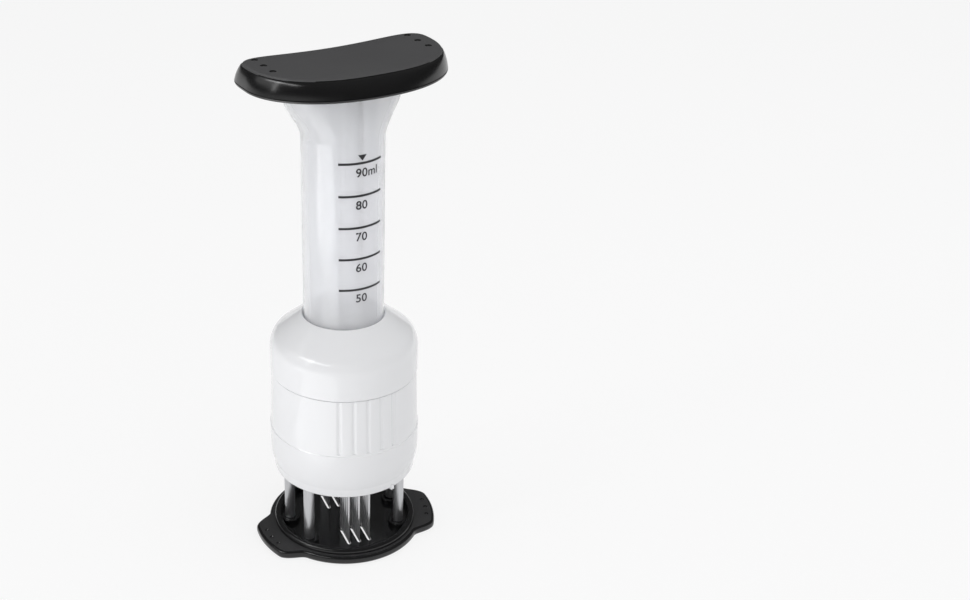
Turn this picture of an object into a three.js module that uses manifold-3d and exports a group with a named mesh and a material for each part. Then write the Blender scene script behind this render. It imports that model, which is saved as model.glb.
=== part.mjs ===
// Marinade injector. A clear syringe barrel with a palm handle stands in a white housing, and
// thirty needles under the housing reach into a sprung needle guard on four steel posts.
// Millimetres, +Z up. The axis of the barrel is the Z axis, the guard stands on z = 0 and the
// fluted front of the housing faces -Y. Barrel and plunger sit turned in the housing as shown.
import * as THREE from 'three';
import { mergeVertices } from 'three/addons/utils/BufferGeometryUtils.js';
import Module from 'manifold-3d';

const wasm = await Module();
wasm.setup();

// Driving sizes
const barrelRadius = 16.75;
const barrelWall = 1.37;
const boreRadius = barrelRadius - barrelWall;
const housingRadius = 31.8;
const needleStroke = 25.8;
const needleCount = 30;
const markVolume = 10000;
const markPitch = markVolume / (Math.PI * boreRadius ** 2);
const fullMarks = 9;

// Fits and shared values
const overrun = 1;
const seatGap = 0.3;
const runningGap = 0.2;
const roundSides = 36;
const smallSides = 12;
const quarterTurn = Math.PI / 2;
const fullTurn = Math.PI * 2;

// Needle guard
const guardRadius = 33.4;
const guardThickness = 3.6;
const guardRounding = 1.2;
const earReach = 6.5;
const earAngle = THREE.MathUtils.degToRad(79);
const earHalfAngle = THREE.MathUtils.degToRad(23);
const earBlend = THREE.MathUtils.degToRad(8);
const guardOutlineSteps = 52;
const ringOuterRadius = 31;
const ringInnerRadius = 27.8;
const ringHeight = 5.9;
const ringRounding = 0.6;
const guardFloor = 2;
const grooveDepth = 4.4;
const grooveWall = 1.1;
const slotWidth = 1.6;
const dimpleRadius = 0.9;
const dimpleDepth = 0.4;
const dimplePitch = 5.5;
const dimpleInset = 3.4;

// Posts that carry the guard
const postInset = 7.6;
const postCircle = housingRadius - postInset;
const postMiddleAngle = THREE.MathUtils.degToRad(80);
const postSpread = THREE.MathUtils.degToRad(22.3);
const postRadius = 2.3;
const postFootRadius = 2;
const postFootGap = 0.15;
const guideGap = 0.3;
const bossRadius = 4.2;
const bossHeight = 4.2;
const bossFloor = 1.2;

// Housing heights
const coverBottom = ringHeight + needleStroke + runningGap + seatGap;
const coverThickness = 4;
const coverTop = coverBottom + coverThickness;

// Stop screws in the post tops
const stopHeadRadius = 3.3;
const stopHeadThickness = 2;
const stopShankRadius = 1.1;
const stopShankLength = 6;
const stopPilotRadius = 2;
const stopPilotHeight = 1.2;
const hexKeyRadius = 1.1;

// Return springs
const springWire = 0.7;
const springRadius = 2.9;
const springTurns = 5;
const springStepsPerTurn = 6;
const springWireSides = 4;
const springSolidHeight = 7.5;

// Housing core with the spring sleeves and the barrel socket
const sleeveBore = stopHeadRadius + seatGap;
const sleeveWall = 0.8;
const sleeveRadius = sleeveBore + sleeveWall;
const coreRoof = 2;
const stopTop = coverTop + runningGap + stopHeadThickness;
const roofBottom = stopTop + needleStroke + springSolidHeight;
const coreTop = roofBottom + coreRoof;
const coreFlangeGap = 0.3;
const socketGap = 0.35;
const socketWall = 2.5;

// Needle manifold and valve
const manifoldHalfWidth = 8.2;
const manifoldHalfLength = 22.6;
const manifoldCorner = 4;
const manifoldWall = 2;
const manifoldBase = 4;
const manifoldCavity = 3;
const coverWallHeight = 5.5;
const valvePlateThickness = 2;
const valvePlateRadius = 18.8;
const valvePortRadius = 1.2;
const valvePortCircle = 3.9;
const valvePortCount = 6;
const valveCapRadius = 5.8;
const valveCapEdge = 0.5;
const valveCapDepth = 1.3;
const valveStemRadius = 1;
const valveBulbRadius = 1.7;
const valveBulbHeight = 2.2;
const valveTipRadius = 0.7;

// Needles
const needleRadius = 0.55;
const needleBore = 0.32;
const needleSides = 6;
const needleGap = 0.12;
const needleColumns = 3;
const needleColumnPitch = 4.6;
const needleRowStart = 9.2;
const needleRowPitch = 2.5;
const needleRows = 5;
const needleTip = 1;
const needleStandUp = 0.6;
const needleBevelAngle = THREE.MathUtils.degToRad(62);
const needleFacing = 90;
const slotEndSpace = 0.35;

// Barrel
const gasketThickness = 1.6;
const gasketWall = 1.2;
const deadHeight = 2.9;
const collarGap = 0.3;
const collarHeight = 2.4;
const collarWidth = 2.2;
const flareHeight = 23.9;
const flareHalfLength = 26.5;
const flareHalfDepth = 17.9;
const flarePower = 1.5;
const flareRings = 5;
const barrelTurn = THREE.MathUtils.degToRad(9.5);
const windowSill = 9;
const windowSillHalf = 14.5;
const windowTopHalf = 17.5;

// Housing shell
const shellWall = 2.3;
const shellLip = 1;
const rimSetback = 1.3;
const rimRadius = housingRadius - rimSetback;
const coverRimSetback = 0.4;
const coverRimRadius = rimRadius - coverRimSetback;
const coverRounding = 0.9;
const coverRecess = 1.6;
const coverLipWidth = 2.6;
const bellyHeight = 9.5;
const bellyPower = 2.8;
const bandRise = 17.3;
const bandHeight = 26;
const bandDepth = 0.3;
const bandRounding = 0.35;
const housingDraft = 0.7;
const shoulderHeight = 25.5;
const neckGap = 0.3;
const neckWall = 2;
const neckLip = 0.5;
const shoulderRadius = 9;
const shoulderSlope = THREE.MathUtils.degToRad(38);
const shoulderSteps = 4;
const innerShoulderSteps = 2;
const bellySteps = 3;
const gripPitch = THREE.MathUtils.degToRad(11.1);
const gripFlutes = 4;
const fluteRadius = 4.2;
const fluteDepth = 0.95;
const fluteEndSpace = 0.6;

// Handle
const handleRise = 101.7;
const handleHeight = 8.3;
const handleBaseEdge = 1.2;
const handleEdgeRounding = 0.7;
const handleWall = 2.4;
const handleSteps = 20;
const handleCrown = 0.6;
const handleRim = {
  halfLength: 41.8, middle: -2,
  front: -32.2, frontPower: 2.2, frontCorner: 2,
  back: 17, backPower: 8, backCorner: 4, dent: 4.2,
};
const handleLean = 2.4;
const handleFace = {
  halfLength: handleRim.halfLength - handleLean, middle: 2,
  front: -28, frontPower: 2.8, frontCorner: 2.3,
  back: 12, backPower: 8, backCorner: 3, dent: 2.4,
};
const handleMiddleShare = 0.22;
const handleShoulderShare = 0.62;
const handleBossRadius = 13;
const handleBossHeight = 4.6;
const handleSocketFloor = 1;
const handleDimpleRadius = 1.1;
const handleDimpleDepth = 0.4;
const handleDimplePitch = 8;
const handleDimpleInset = 6.2;
const handleDimpleMiddle = 0;

// Plunger
const vaneHalfWidth = 15;
const vaneThickness = 1.8;
const tenonHalfWidth = 9;
const spigotRadius = 4;
const spigotLength = 4.6;
const pistonHeight = 8.5;
const pistonDiscThickness = 1.5;
const pistonTopThickness = 2;
const pistonClearance = 0.65;
const pistonHubRadius = 10;
const sealClearance = 0.08;
const sealWaist = 0.9;
const sealLip = 1.1;

// Heights that follow from the sizes above
const manifoldBottom = coverTop + coverWallHeight;
const cavityFloor = manifoldBottom + manifoldBase;
const valvePlateBottom = cavityFloor + manifoldCavity;
const valvePlateTop = valvePlateBottom + valvePlateThickness;
const barrelBottom = valvePlateTop + gasketThickness;
const zeroMark = barrelBottom + deadHeight;
const plungerTravel = fullMarks * markPitch;
const collarBottom = coreTop + collarGap;
const collarTop = collarBottom + collarHeight;
const bandBottom = coverTop + bandRise;
const bandTop = bandBottom + bandHeight;
const neckTop = bandTop + shoulderHeight;
const handleBottom = neckTop + handleRise;
const handleTop = handleBottom + handleHeight;
const flareStart = handleBottom - flareHeight;
const barrelTop = handleBottom - seatGap;
const rodTop = handleBottom - handleBossHeight - seatGap;
const needlePlaces = listNeedlePlaces();
const postPlaces = listPostPlaces();

// Materials
const materials = {
  blackGloss: finish(0x161617, 0.28, 0),
  handleTopPlastic: finish(0x2f2f31, 0.6, 0),
  whitePlastic: finish(0xe9e9ea, 0.35, 0),
  clearPlastic: finish(0xdfe4e8, 0.08, 0, 0.35),
  naturalPlastic: finish(0xd8dadb, 0.5, 0),
  brightSteel: finish(0xc9cbce, 0.22, 1),
  springSteel: finish(0xa9acb0, 0.35, 1),
  silicone: finish(0xcfd2d4, 0.7, 0),
};

function finish(color, roughness, metalness, opacity = 1) {
  return new THREE.MeshStandardMaterial({ color, roughness, metalness, opacity, transparent: opacity < 1 });
}

// Solids from three.js geometry
function toSolid(geometry) {
  const bare = geometry.index ? geometry.toNonIndexed() : geometry.clone();
  bare.deleteAttribute('normal');
  bare.deleteAttribute('uv');
  const welded = mergeVertices(bare);
  const corners = [];
  for (let i = 0; i < welded.index.count; i += 3) {
    const [a, b, c] = [0, 1, 2].map((k) => welded.index.getX(i + k));
    if (a !== b && b !== c && c !== a) corners.push(a, b, c);
  }
  const vertProperties = new Float32Array(welded.attributes.position.array);
  return new wasm.Manifold(new wasm.Mesh({ numProp: 3, vertProperties, triVerts: new Uint32Array(corners) }));
}

function toMesh(name, solid, material) {
  const { vertProperties, triVerts } = solid.getMesh();
  const geometry = new THREE.BufferGeometry();
  geometry.setAttribute('position', new THREE.BufferAttribute(vertProperties, 3));
  geometry.setIndex(new THREE.BufferAttribute(triVerts, 1));
  geometry.computeVertexNormals();
  const mesh = new THREE.Mesh(geometry, material);
  mesh.name = name;
  return mesh;
}

// A closed profile of [radius, height] points turned about Z
function revolve(profile, sides = roundSides) {
  const points = profile.map(([radius, height]) => new THREE.Vector2(radius, height));
  const onAxis = points[0].x === 0 && points.at(-1).x === 0;
  if (!onAxis) points.push(points[0].clone());
  if (THREE.ShapeUtils.area(points) < 0) points.reverse();
  return toSolid(new THREE.LatheGeometry(points, sides).rotateX(quarterTurn));
}

function ring(innerRadius, outerRadius, bottom, top, sides = roundSides) {
  return revolve([[innerRadius, bottom], [outerRadius, bottom], [outerRadius, top], [innerRadius, top]], sides);
}

function disc(radius, bottom, top, sides = roundSides) {
  return revolve([[0, bottom], [radius, bottom], [radius, top], [0, top]], sides);
}

function prism(shapes, bottom, top, curveSegments = 3) {
  const depth = top - bottom;
  const geometry = new THREE.ExtrudeGeometry(shapes, { depth, bevelEnabled: false, curveSegments });
  return toSolid(geometry.translate(0, 0, bottom));
}

function block(x0, x1, y0, y1, bottom, top) {
  const geometry = new THREE.BoxGeometry(x1 - x0, y1 - y0, top - bottom);
  return toSolid(geometry.translate((x0 + x1) / 2, (y0 + y1) / 2, (bottom + top) / 2));
}

// Rings of points from bottom to top, each counter-clockwise from above, closed by flat caps
function loft(rings) {
  const count = rings[0].length;
  const positions = rings.flat().flatMap((point) => [point.x, point.y, point.z]);
  const index = [];
  for (let level = 0; level + 1 < rings.length; level += 1) {
    for (let i = 0; i < count; i += 1) {
      const a = level * count + i;
      const b = level * count + (i + 1) % count;
      index.push(a, b, b + count, a, b + count, a + count);
    }
  }
  const lastRing = (rings.length - 1) * count;
  const flat = (points) => points.map((point) => new THREE.Vector2(point.x, point.y));
  for (const [a, b, c] of THREE.ShapeUtils.triangulateShape(flat(rings[0]), [])) index.push(c, b, a);
  for (const [a, b, c] of THREE.ShapeUtils.triangulateShape(flat(rings.at(-1)), [])) {
    index.push(lastRing + a, lastRing + b, lastRing + c);
  }
  const geometry = new THREE.BufferGeometry();
  geometry.setAttribute('position', new THREE.Float32BufferAttribute(positions, 3));
  geometry.setIndex(index);
  return toSolid(geometry);
}

function polygonShape(radius, sides, x = 0, y = 0) {
  const points = [];
  for (let i = 0; i < sides; i += 1) {
    const angle = fullTurn * i / sides;
    points.push(new THREE.Vector2(x + radius * Math.sin(angle), y - radius * Math.cos(angle)));
  }
  return new THREE.Shape(points);
}

function slotShape(x, y0, y1, width) {
  const radius = width / 2;
  const shape = new THREE.Shape();
  shape.absarc(x, y1 - radius, radius, 0, Math.PI);
  shape.absarc(x, y0 + radius, radius, Math.PI, fullTurn);
  shape.closePath();
  return shape;
}

function roundedBlockShape(halfWidth, halfLength, corner) {
  const shape = new THREE.Shape();
  const [x, y] = [halfWidth - corner, halfLength - corner];
  shape.absarc(x, y, corner, 0, quarterTurn);
  shape.absarc(-x, y, corner, quarterTurn, Math.PI);
  shape.absarc(-x, -y, corner, Math.PI, Math.PI + quarterTurn);
  shape.absarc(x, -y, corner, Math.PI + quarterTurn, fullTurn);
  shape.closePath();
  return shape;
}

function manifoldOutline(inset = 0) {
  return roundedBlockShape(manifoldHalfWidth - inset, manifoldHalfLength - inset, manifoldCorner - inset);
}

function listNeedlePlaces() {
  const places = [];
  for (const side of [-1, 1]) {
    for (let column = 0; column < needleColumns; column += 1) {
      const x = (column - (needleColumns - 1) / 2) * needleColumnPitch;
      for (let row = 0; row < needleRows; row += 1) {
        places.push([x, side * (needleRowStart + row * needleRowPitch)]);
      }
    }
  }
  return places.slice(0, needleCount);
}

// One slot over each column of needles, on both sides of the middle
function needleSlots(width) {
  const start = needleRowStart - needleRadius - slotEndSpace - width / 2;
  const end = needleRowStart + (needleRows - 1) * needleRowPitch + needleRadius + slotEndSpace + width / 2;
  const shapes = [];
  for (let column = 0; column < needleColumns; column += 1) {
    const x = (column - (needleColumns - 1) / 2) * needleColumnPitch;
    shapes.push(slotShape(x, start, end, width), slotShape(x, -end, -start, width));
  }
  return shapes;
}

// Two posts on each side, as [x, y] with the angles taken from the front
function listPostPlaces() {
  const angles = [postMiddleAngle - postSpread, postMiddleAngle + postSpread];
  return [-1, 1].flatMap((side) => angles.map((angle) => {
    return [side * postCircle * Math.sin(angle), -postCircle * Math.cos(angle)];
  }));
}

// Guard plate: a round tray with a raised ring, two ears to press on, bosses and needle slots
function guardOutline(inset, height) {
  const points = [];
  for (let i = 0; i < guardOutlineSteps; i += 1) {
    const angle = fullTurn * (i / guardOutlineSteps);
    const fromEar = Math.abs(earAngle - Math.min(angle, fullTurn - angle));
    const lobe = 1 - THREE.MathUtils.smoothstep(fromEar, earHalfAngle - earBlend, earHalfAngle + earBlend);
    const radius = guardRadius + earReach * lobe - inset;
    points.push(new THREE.Vector3(radius * Math.sin(angle), -radius * Math.cos(angle), height));
  }
  return points;
}

function makeGuardPlate() {
  let plate = loft([
    guardOutline(guardRounding, 0),
    guardOutline(0, guardRounding),
    guardOutline(0, guardThickness - guardRounding),
    guardOutline(guardRounding, guardThickness),
  ]);
  plate = plate.add(revolve([
    [ringInnerRadius, guardFloor],
    [ringOuterRadius, guardFloor],
    [ringOuterRadius, ringHeight - ringRounding],
    [ringOuterRadius - ringRounding, ringHeight],
    [ringInnerRadius + ringRounding, ringHeight],
    [ringInnerRadius, ringHeight - ringRounding],
  ]));
  plate = plate.subtract(disc(ringInnerRadius, guardFloor, guardThickness + overrun));
  const [grooveInner, grooveOuter] = [ringInnerRadius + grooveWall, ringOuterRadius - grooveWall];
  plate = plate.subtract(ring(grooveInner, grooveOuter, -overrun, grooveDepth));
  const bosses = postPlaces.map(([x, y]) => polygonShape(bossRadius, smallSides, x, y));
  const feet = postPlaces.map(([x, y]) => polygonShape(postFootRadius + postFootGap, smallSides, x, y));
  plate = plate.add(prism(bosses, guardFloor / 2, bossHeight));
  plate = plate.subtract(prism(feet, bossFloor, bossHeight + overrun));
  plate = plate.subtract(prism(needleSlots(slotWidth), -overrun, guardFloor + overrun));
  const dimples = [];
  const dimpleCircle = guardRadius + earReach - dimpleInset;
  for (const side of [-1, 1]) {
    for (const step of [-1, 0, 1]) {
      const angle = earAngle + step * dimplePitch / dimpleCircle;
      const x = side * dimpleCircle * Math.sin(angle);
      dimples.push(polygonShape(dimpleRadius, 6, x, -dimpleCircle * Math.cos(angle)));
    }
  }
  return plate.subtract(prism(dimples, guardThickness - dimpleDepth, guardThickness + overrun));
}

// Steel post with a thinner foot in the guard and a tapped hole for its stop screw
function makePost([x, y]) {
  const stopSeat = coverTop + runningGap;
  const shank = disc(postRadius, bossHeight, stopSeat, smallSides);
  const foot = disc(postFootRadius, bossFloor + seatGap, bossHeight + overrun, smallSides);
  const holeBottom = stopSeat - stopShankLength - seatGap;
  const hole = disc(stopShankRadius + postFootGap, holeBottom, stopSeat + overrun, smallSides);
  return shank.add(foot).subtract(hole).translate([x, y, 0]);
}

function makeStopScrew([x, y]) {
  const seat = coverTop + runningGap;
  const top = seat + stopHeadThickness;
  const screw = revolve([
    [0, seat - stopShankLength],
    [stopShankRadius, seat - stopShankLength],
    [stopShankRadius, seat],
    [stopHeadRadius, seat],
    [stopHeadRadius, top],
    [stopPilotRadius, top],
    [stopPilotRadius, top + stopPilotHeight],
    [0, top + stopPilotHeight],
  ], smallSides);
  const key = prism(polygonShape(hexKeyRadius, 6), top, top + stopPilotHeight + overrun);
  return screw.subtract(key).translate([x, y, 0]);
}

// Compression spring as one unbroken wire between the stop screw and the roof of its sleeve
class SpringPath extends THREE.Curve {
  getPoint(t, target = new THREE.Vector3()) {
    const angle = fullTurn * springTurns * t;
    const bottom = stopTop + springWire / 2 + seatGap / 2;
    const top = roofBottom - springWire / 2 - seatGap / 2;
    const height = bottom + (top - bottom) * t;
    return target.set(springRadius * Math.cos(angle), springRadius * Math.sin(angle), height);
  }
}

function makeSpring([x, y]) {
  const section = polygonShape(springWire / 2, springWireSides);
  const steps = springTurns * springStepsPerTurn;
  const geometry = new THREE.ExtrudeGeometry(section, { steps, extrudePath: new SpringPath() });
  const wire = toSolid(geometry);
  return wire.translate([x, y, 0]);
}

// Bottom cover: closes the housing, guides the posts and lets the needles through
function makeBottomCover() {
  let cover = revolve([
    [0, coverBottom + coverRecess],
    [coverRimRadius - coverLipWidth, coverBottom + coverRecess],
    [coverRimRadius - coverLipWidth, coverBottom],
    [coverRimRadius - coverRounding, coverBottom],
    [coverRimRadius, coverBottom + coverRounding],
    [rimRadius, coverTop],
    [0, coverTop],
  ]);
  const wallOutline = manifoldOutline();
  cover = cover.add(prism(wallOutline, coverTop - coverRecess, manifoldBottom));
  cover = cover.subtract(prism(manifoldOutline(manifoldWall), coverTop, manifoldBottom + overrun));
  const guides = postPlaces.map(([x, y]) => polygonShape(postRadius + guideGap, smallSides, x, y));
  cover = cover.subtract(prism(guides, coverBottom, coverTop + overrun));
  return cover.subtract(prism(needleSlots(slotWidth), coverBottom, coverTop + overrun));
}

// Needle manifold: carries the needles and spreads the marinade over them
function makeNeedleManifold() {
  const outline = manifoldOutline();
  const holes = needlePlaces.map(([x, y]) => polygonShape(needleRadius + needleGap, needleSides, x, y));
  return prism(outline, manifoldBottom, valvePlateBottom)
    .subtract(prism(manifoldOutline(manifoldWall), cavityFloor, valvePlateBottom + overrun))
    .subtract(prism(holes, manifoldBottom - overrun, cavityFloor + overrun));
}

// One hollow needle with a ground bevel, its point on the +X side
function makeNeedle([x, y]) {
  const top = cavityFloor + needleStandUp;
  const section = polygonShape(needleRadius, needleSides);
  section.holes.push(new THREE.Path(polygonShape(needleBore, needleSides).getPoints().reverse()));
  const tube = prism(section, needleTip, top);
  const reach = needleRadius * Math.tan(needleBevelAngle) * 4;
  const cutter = new THREE.BoxGeometry(needleRadius * 6, reach, reach);
  cutter.translate(0, 0, -reach / 2);
  cutter.rotateX(needleBevelAngle);
  cutter.translate(0, -needleRadius, needleTip);
  const bevelled = tube.subtract(toSolid(cutter));
  return bevelled.rotate([0, 0, needleFacing]).translate([x, y, 0]);
}

function makeValvePlate() {
  const outline = manifoldOutline();
  const ports = [polygonShape(valveStemRadius + postFootGap, 8)];
  for (let i = 0; i < valvePortCount; i += 1) {
    const angle = fullTurn * (i + 0.5) / valvePortCount;
    const [x, y] = [valvePortCircle * Math.cos(angle), valvePortCircle * Math.sin(angle)];
    ports.push(polygonShape(valvePortRadius, 8, x, y));
  }
  return disc(valvePlateRadius, valvePlateBottom, valvePlateTop)
    .add(prism(outline, valvePlateBottom, valvePlateTop))
    .subtract(prism(ports, valvePlateBottom - overrun, valvePlateTop + overrun));
}

// Umbrella valve: the cap closes the ports from below, the bulb keeps it in the plate
function makeCheckValve() {
  const capTop = valvePlateBottom - seatGap / 2;
  const bulbBottom = valvePlateTop + seatGap / 2;
  return revolve([
    [0, capTop - valveCapDepth],
    [valveStemRadius, capTop - valveCapDepth],
    [valveCapRadius, capTop - valveCapEdge],
    [valveCapRadius, capTop],
    [valveStemRadius, capTop],
    [valveStemRadius, bulbBottom],
    [valveBulbRadius, bulbBottom],
    [valveTipRadius, bulbBottom + valveBulbHeight],
    [0, bulbBottom + valveBulbHeight],
  ], smallSides);
}

function makeBarrelGasket() {
  const outer = barrelRadius + runningGap / 2;
  return ring(outer - gasketWall, outer, valvePlateTop, barrelBottom);
}

// Housing core: socket for the barrel, four spring sleeves and the flange that joins them
function makeHousingCore() {
  const socketInner = barrelRadius + socketGap;
  const flangeRadius = housingRadius - shellWall - coreFlangeGap;
  const sleeves = postPlaces.map(([x, y]) => polygonShape(sleeveRadius, smallSides, x, y));
  const bores = postPlaces.map(([x, y]) => polygonShape(sleeveBore, smallSides, x, y));
  return revolve([
    [socketInner, valvePlateTop],
    [socketInner + socketWall, valvePlateTop],
    [socketInner + socketWall, roofBottom],
    [flangeRadius, roofBottom],
    [flangeRadius, coreTop],
    [socketInner, coreTop],
  ])
    .add(prism(sleeves, coverTop, coreTop))
    .subtract(prism(bores, coverTop - overrun, roofBottom));
}

// Housing shell: belly, grip band with fluted panels, rounded shoulder and guiding neck
function shoulderPoints(radius, offset, steps) {
  const points = [];
  const lipRadius = barrelRadius + neckGap + neckLip;
  const end = quarterTurn - shoulderSlope;
  const endRadius = radius - shoulderRadius + shoulderRadius * Math.cos(end);
  const endHeight = neckTop - (endRadius - lipRadius) * Math.tan(shoulderSlope);
  const centre = endHeight - shoulderRadius * Math.sin(end);
  for (let i = 0; i <= steps; i += 1) {
    const angle = end * i / steps;
    const arc = shoulderRadius - offset;
    points.push([radius - shoulderRadius + arc * Math.cos(angle), centre + arc * Math.sin(angle)]);
  }
  return points;
}

function bellyPoints() {
  const points = [];
  for (let i = bellySteps; i >= 0; i -= 1) {
    const share = i / bellySteps;
    const radius = housingRadius - (housingRadius - rimRadius) * share ** bellyPower;
    points.push([radius, coverTop + bellyHeight * (1 - share)]);
  }
  return points;
}

function makeHousingShell() {
  const neckInner = barrelRadius + neckGap;
  const neckOuter = neckInner + neckWall;
  const bandRadius = housingRadius - bandDepth;
  const innerRadius = housingRadius - shellWall;
  const ledgeRadius = innerRadius - shellLip;
  const topRadius = housingRadius - housingDraft;
  const innerShoulder = shoulderPoints(topRadius, shellWall, innerShoulderSteps).reverse();
  const [lastRadius, lastHeight] = innerShoulder[0];
  const neckJoin = lastHeight + (lastRadius - neckOuter) * Math.tan(shoulderSlope);
  let shell = revolve([
    [rimRadius - shellLip, coverTop],
    ...bellyPoints(),
    [housingRadius, bandBottom - bandRounding],
    [bandRadius, bandBottom],
    [bandRadius - housingDraft, bandTop],
    [topRadius, bandTop + bandRounding],
    ...shoulderPoints(topRadius, 0, shoulderSteps),
    [neckInner + neckLip, neckTop],
    [neckInner, neckTop - neckLip],
    [neckInner, collarTop + collarGap],
    [neckOuter, collarTop + collarGap],
    [neckOuter, neckJoin],
    ...innerShoulder,
    [ledgeRadius, coreTop],
    [innerRadius, coreTop],
    [innerRadius, coverTop + bellyHeight],
    [rimRadius - shellLip, coverTop + bellyHeight / 2],
  ]);
  const flutes = [];
  for (const panel of [0, Math.PI]) {
    for (let i = 0; i < gripFlutes; i += 1) {
      const angle = panel + (i - (gripFlutes - 1) / 2) * gripPitch;
      const reach = bandRadius + fluteRadius - fluteDepth;
      flutes.push(polygonShape(fluteRadius, smallSides, reach * Math.sin(angle), -reach * Math.cos(angle)));
    }
  }
  shell = shell.subtract(prism(flutes, bandBottom + fluteEndSpace, bandTop - fluteEndSpace));
  return shell;
}

// Barrel: a straight tube whose mouth flares along the handle, with a filling window at the back
function barrelRing(height, inset) {
  const share = Math.max(0, (height - flareStart) / (barrelTop - flareStart));
  const spread = Math.sin(quarterTurn * share) ** flarePower;
  const halfLength = barrelRadius + (flareHalfLength - barrelRadius) * spread - inset;
  const halfDepth = barrelRadius + (flareHalfDepth - barrelRadius) * spread - inset;
  const points = [];
  for (let i = 0; i < roundSides; i += 1) {
    const angle = fullTurn * i / roundSides;
    points.push(new THREE.Vector3(halfLength * Math.sin(angle), -halfDepth * Math.cos(angle), height));
  }
  return points;
}

function barrelLoft(inset, end) {
  const rings = [barrelRing(barrelBottom - end, inset)];
  for (let i = 0; i <= flareRings; i += 1) {
    rings.push(barrelRing(flareStart + (barrelTop - flareStart) * i / flareRings, inset));
  }
  if (end > 0) rings.push(barrelRing(barrelTop, inset).map((point) => point.setZ(barrelTop + end)));
  return loft(rings);
}

function makeBarrel() {
  const sill = handleBottom - windowSill;
  const window = new THREE.Shape([
    new THREE.Vector2(-windowSillHalf, sill),
    new THREE.Vector2(windowSillHalf, sill),
    new THREE.Vector2(windowTopHalf, barrelTop + overrun),
    new THREE.Vector2(-windowTopHalf, barrelTop + overrun),
  ]);
  const windowDepth = flareHalfDepth + overrun;
  const cutter = new THREE.ExtrudeGeometry(window, { depth: windowDepth, bevelEnabled: false });
  cutter.rotateX(quarterTurn).translate(0, windowDepth, 0);
  const collar = ring(barrelRadius - barrelWall / 2, barrelRadius + collarWidth, collarBottom, collarTop);
  return barrelLoft(0, 0)
    .add(collar)
    .subtract(barrelLoft(barrelWall, overrun))
    .subtract(toSolid(cutter));
}

// Plunger: cross rod, piston head and seal
function makePlungerRod() {
  const bottom = zeroMark + pistonHeight;
  const half = vaneThickness / 2;
  const tenonTop = handleBottom - seatGap;
  const rod = block(-vaneHalfWidth, vaneHalfWidth, -half, half, bottom, rodTop)
    .add(block(-half, half, -vaneHalfWidth, vaneHalfWidth, bottom, rodTop))
    .add(block(-tenonHalfWidth, tenonHalfWidth, -half, half, rodTop - overrun, tenonTop))
    .add(block(-half, half, -tenonHalfWidth, tenonHalfWidth, rodTop - overrun, tenonTop));
  return rod.add(disc(spigotRadius, bottom - spigotLength, bottom + overrun, smallSides));
}

function makePistonHead() {
  const discRadius = boreRadius - pistonClearance;
  const top = zeroMark + pistonHeight;
  return revolve([
    [0, zeroMark],
    [discRadius, zeroMark],
    [discRadius, zeroMark + pistonDiscThickness],
    [pistonHubRadius, zeroMark + pistonDiscThickness],
    [pistonHubRadius, top - pistonTopThickness],
    [discRadius, top - pistonTopThickness],
    [discRadius, top],
    [0, top],
  ]).subtract(disc(spigotRadius + seatGap / 2, top - spigotLength - seatGap, top + overrun, smallSides));
}

function makePistonSeal() {
  const bottom = zeroMark + pistonDiscThickness + runningGap;
  const top = zeroMark + pistonHeight - pistonTopThickness - runningGap;
  const inner = pistonHubRadius + runningGap;
  const outer = boreRadius - sealClearance;
  return revolve([
    [inner, bottom],
    [outer, bottom],
    [outer - sealWaist, bottom + sealLip],
    [outer - sealWaist, top - sealLip],
    [outer, top],
    [inner, top],
  ]);
}

// The top face of the handle rises a little towards both ends
function crownAt(x) {
  return handleCrown * (x / handleFace.halfLength) ** 2;
}

// Handle: an outline with a bowed front and a slightly hollow back, given point by point
function handleOutline(form, inset, height) {
  const halfLength = form.halfLength - inset;
  const points = [];
  const sides = [
    { start: -1, reach: form.front + inset, power: form.frontPower, corner: form.frontCorner, dent: 0 },
    { start: 1, reach: form.back - inset, power: form.backPower, corner: form.backCorner, dent: form.dent },
  ];
  for (const side of sides) {
    for (let i = 0; i < handleSteps; i += 1) {
      const sweep = Math.sin(quarterTurn * (2 * i / handleSteps - 1));
      const share = side.start * -sweep;
      const bow = Math.max(0, 1 - Math.abs(share) ** side.power) ** (1 / side.corner);
      const hollow = side.dent * (1 - share ** 2) ** 2;
      const x = halfLength * share;
      const y = form.middle + (side.reach - form.middle) * bow - hollow;
      points.push(new THREE.Vector3(x, y, height + (height > handleTop - handleEdgeRounding ? crownAt(x) : 0)));
    }
  }
  return points;
}

function blendForms(a, b, share) {
  return Object.fromEntries(Object.keys(a).map((key) => [key, a[key] + (b[key] - a[key]) * share]));
}

function handleHollow(bottom, inset) {
  const top = handleTop - handleWall;
  return loft([
    handleOutline(handleRim, handleWall + inset, bottom),
    handleOutline(handleFace, handleWall + inset, top),
  ]);
}

function makeHandleShell() {
  const seam = handleBottom + handleBaseEdge;
  const shoulder = handleTop - handleEdgeRounding * 2;
  const middleHeight = (seam + shoulder) / 2;
  const shell = loft([
    handleOutline(handleRim, runningGap, seam),
    handleOutline(handleRim, 0, seam + runningGap),
    handleOutline(blendForms(handleRim, handleFace, handleMiddleShare), 0, middleHeight),
    handleOutline(blendForms(handleRim, handleFace, handleShoulderShare), 0, shoulder),
    handleOutline(handleFace, 0, handleTop - handleEdgeRounding / 2),
    handleOutline(handleFace, handleEdgeRounding, handleTop),
  ]);
  const dimples = [];
  const dimpleReach = handleFace.halfLength - handleDimpleInset;
  const dimpleFloor = handleTop + crownAt(dimpleReach) - handleDimpleDepth;
  for (const side of [-1, 1]) {
    for (const step of [-1, 0, 1]) {
      const x = side * dimpleReach;
      dimples.push(polygonShape(handleDimpleRadius, 8, x, handleDimpleMiddle + step * handleDimplePitch));
    }
  }
  return shell
    .subtract(handleHollow(seam - overrun, 0))
    .subtract(prism(dimples, dimpleFloor, handleTop + overrun));
}

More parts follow.
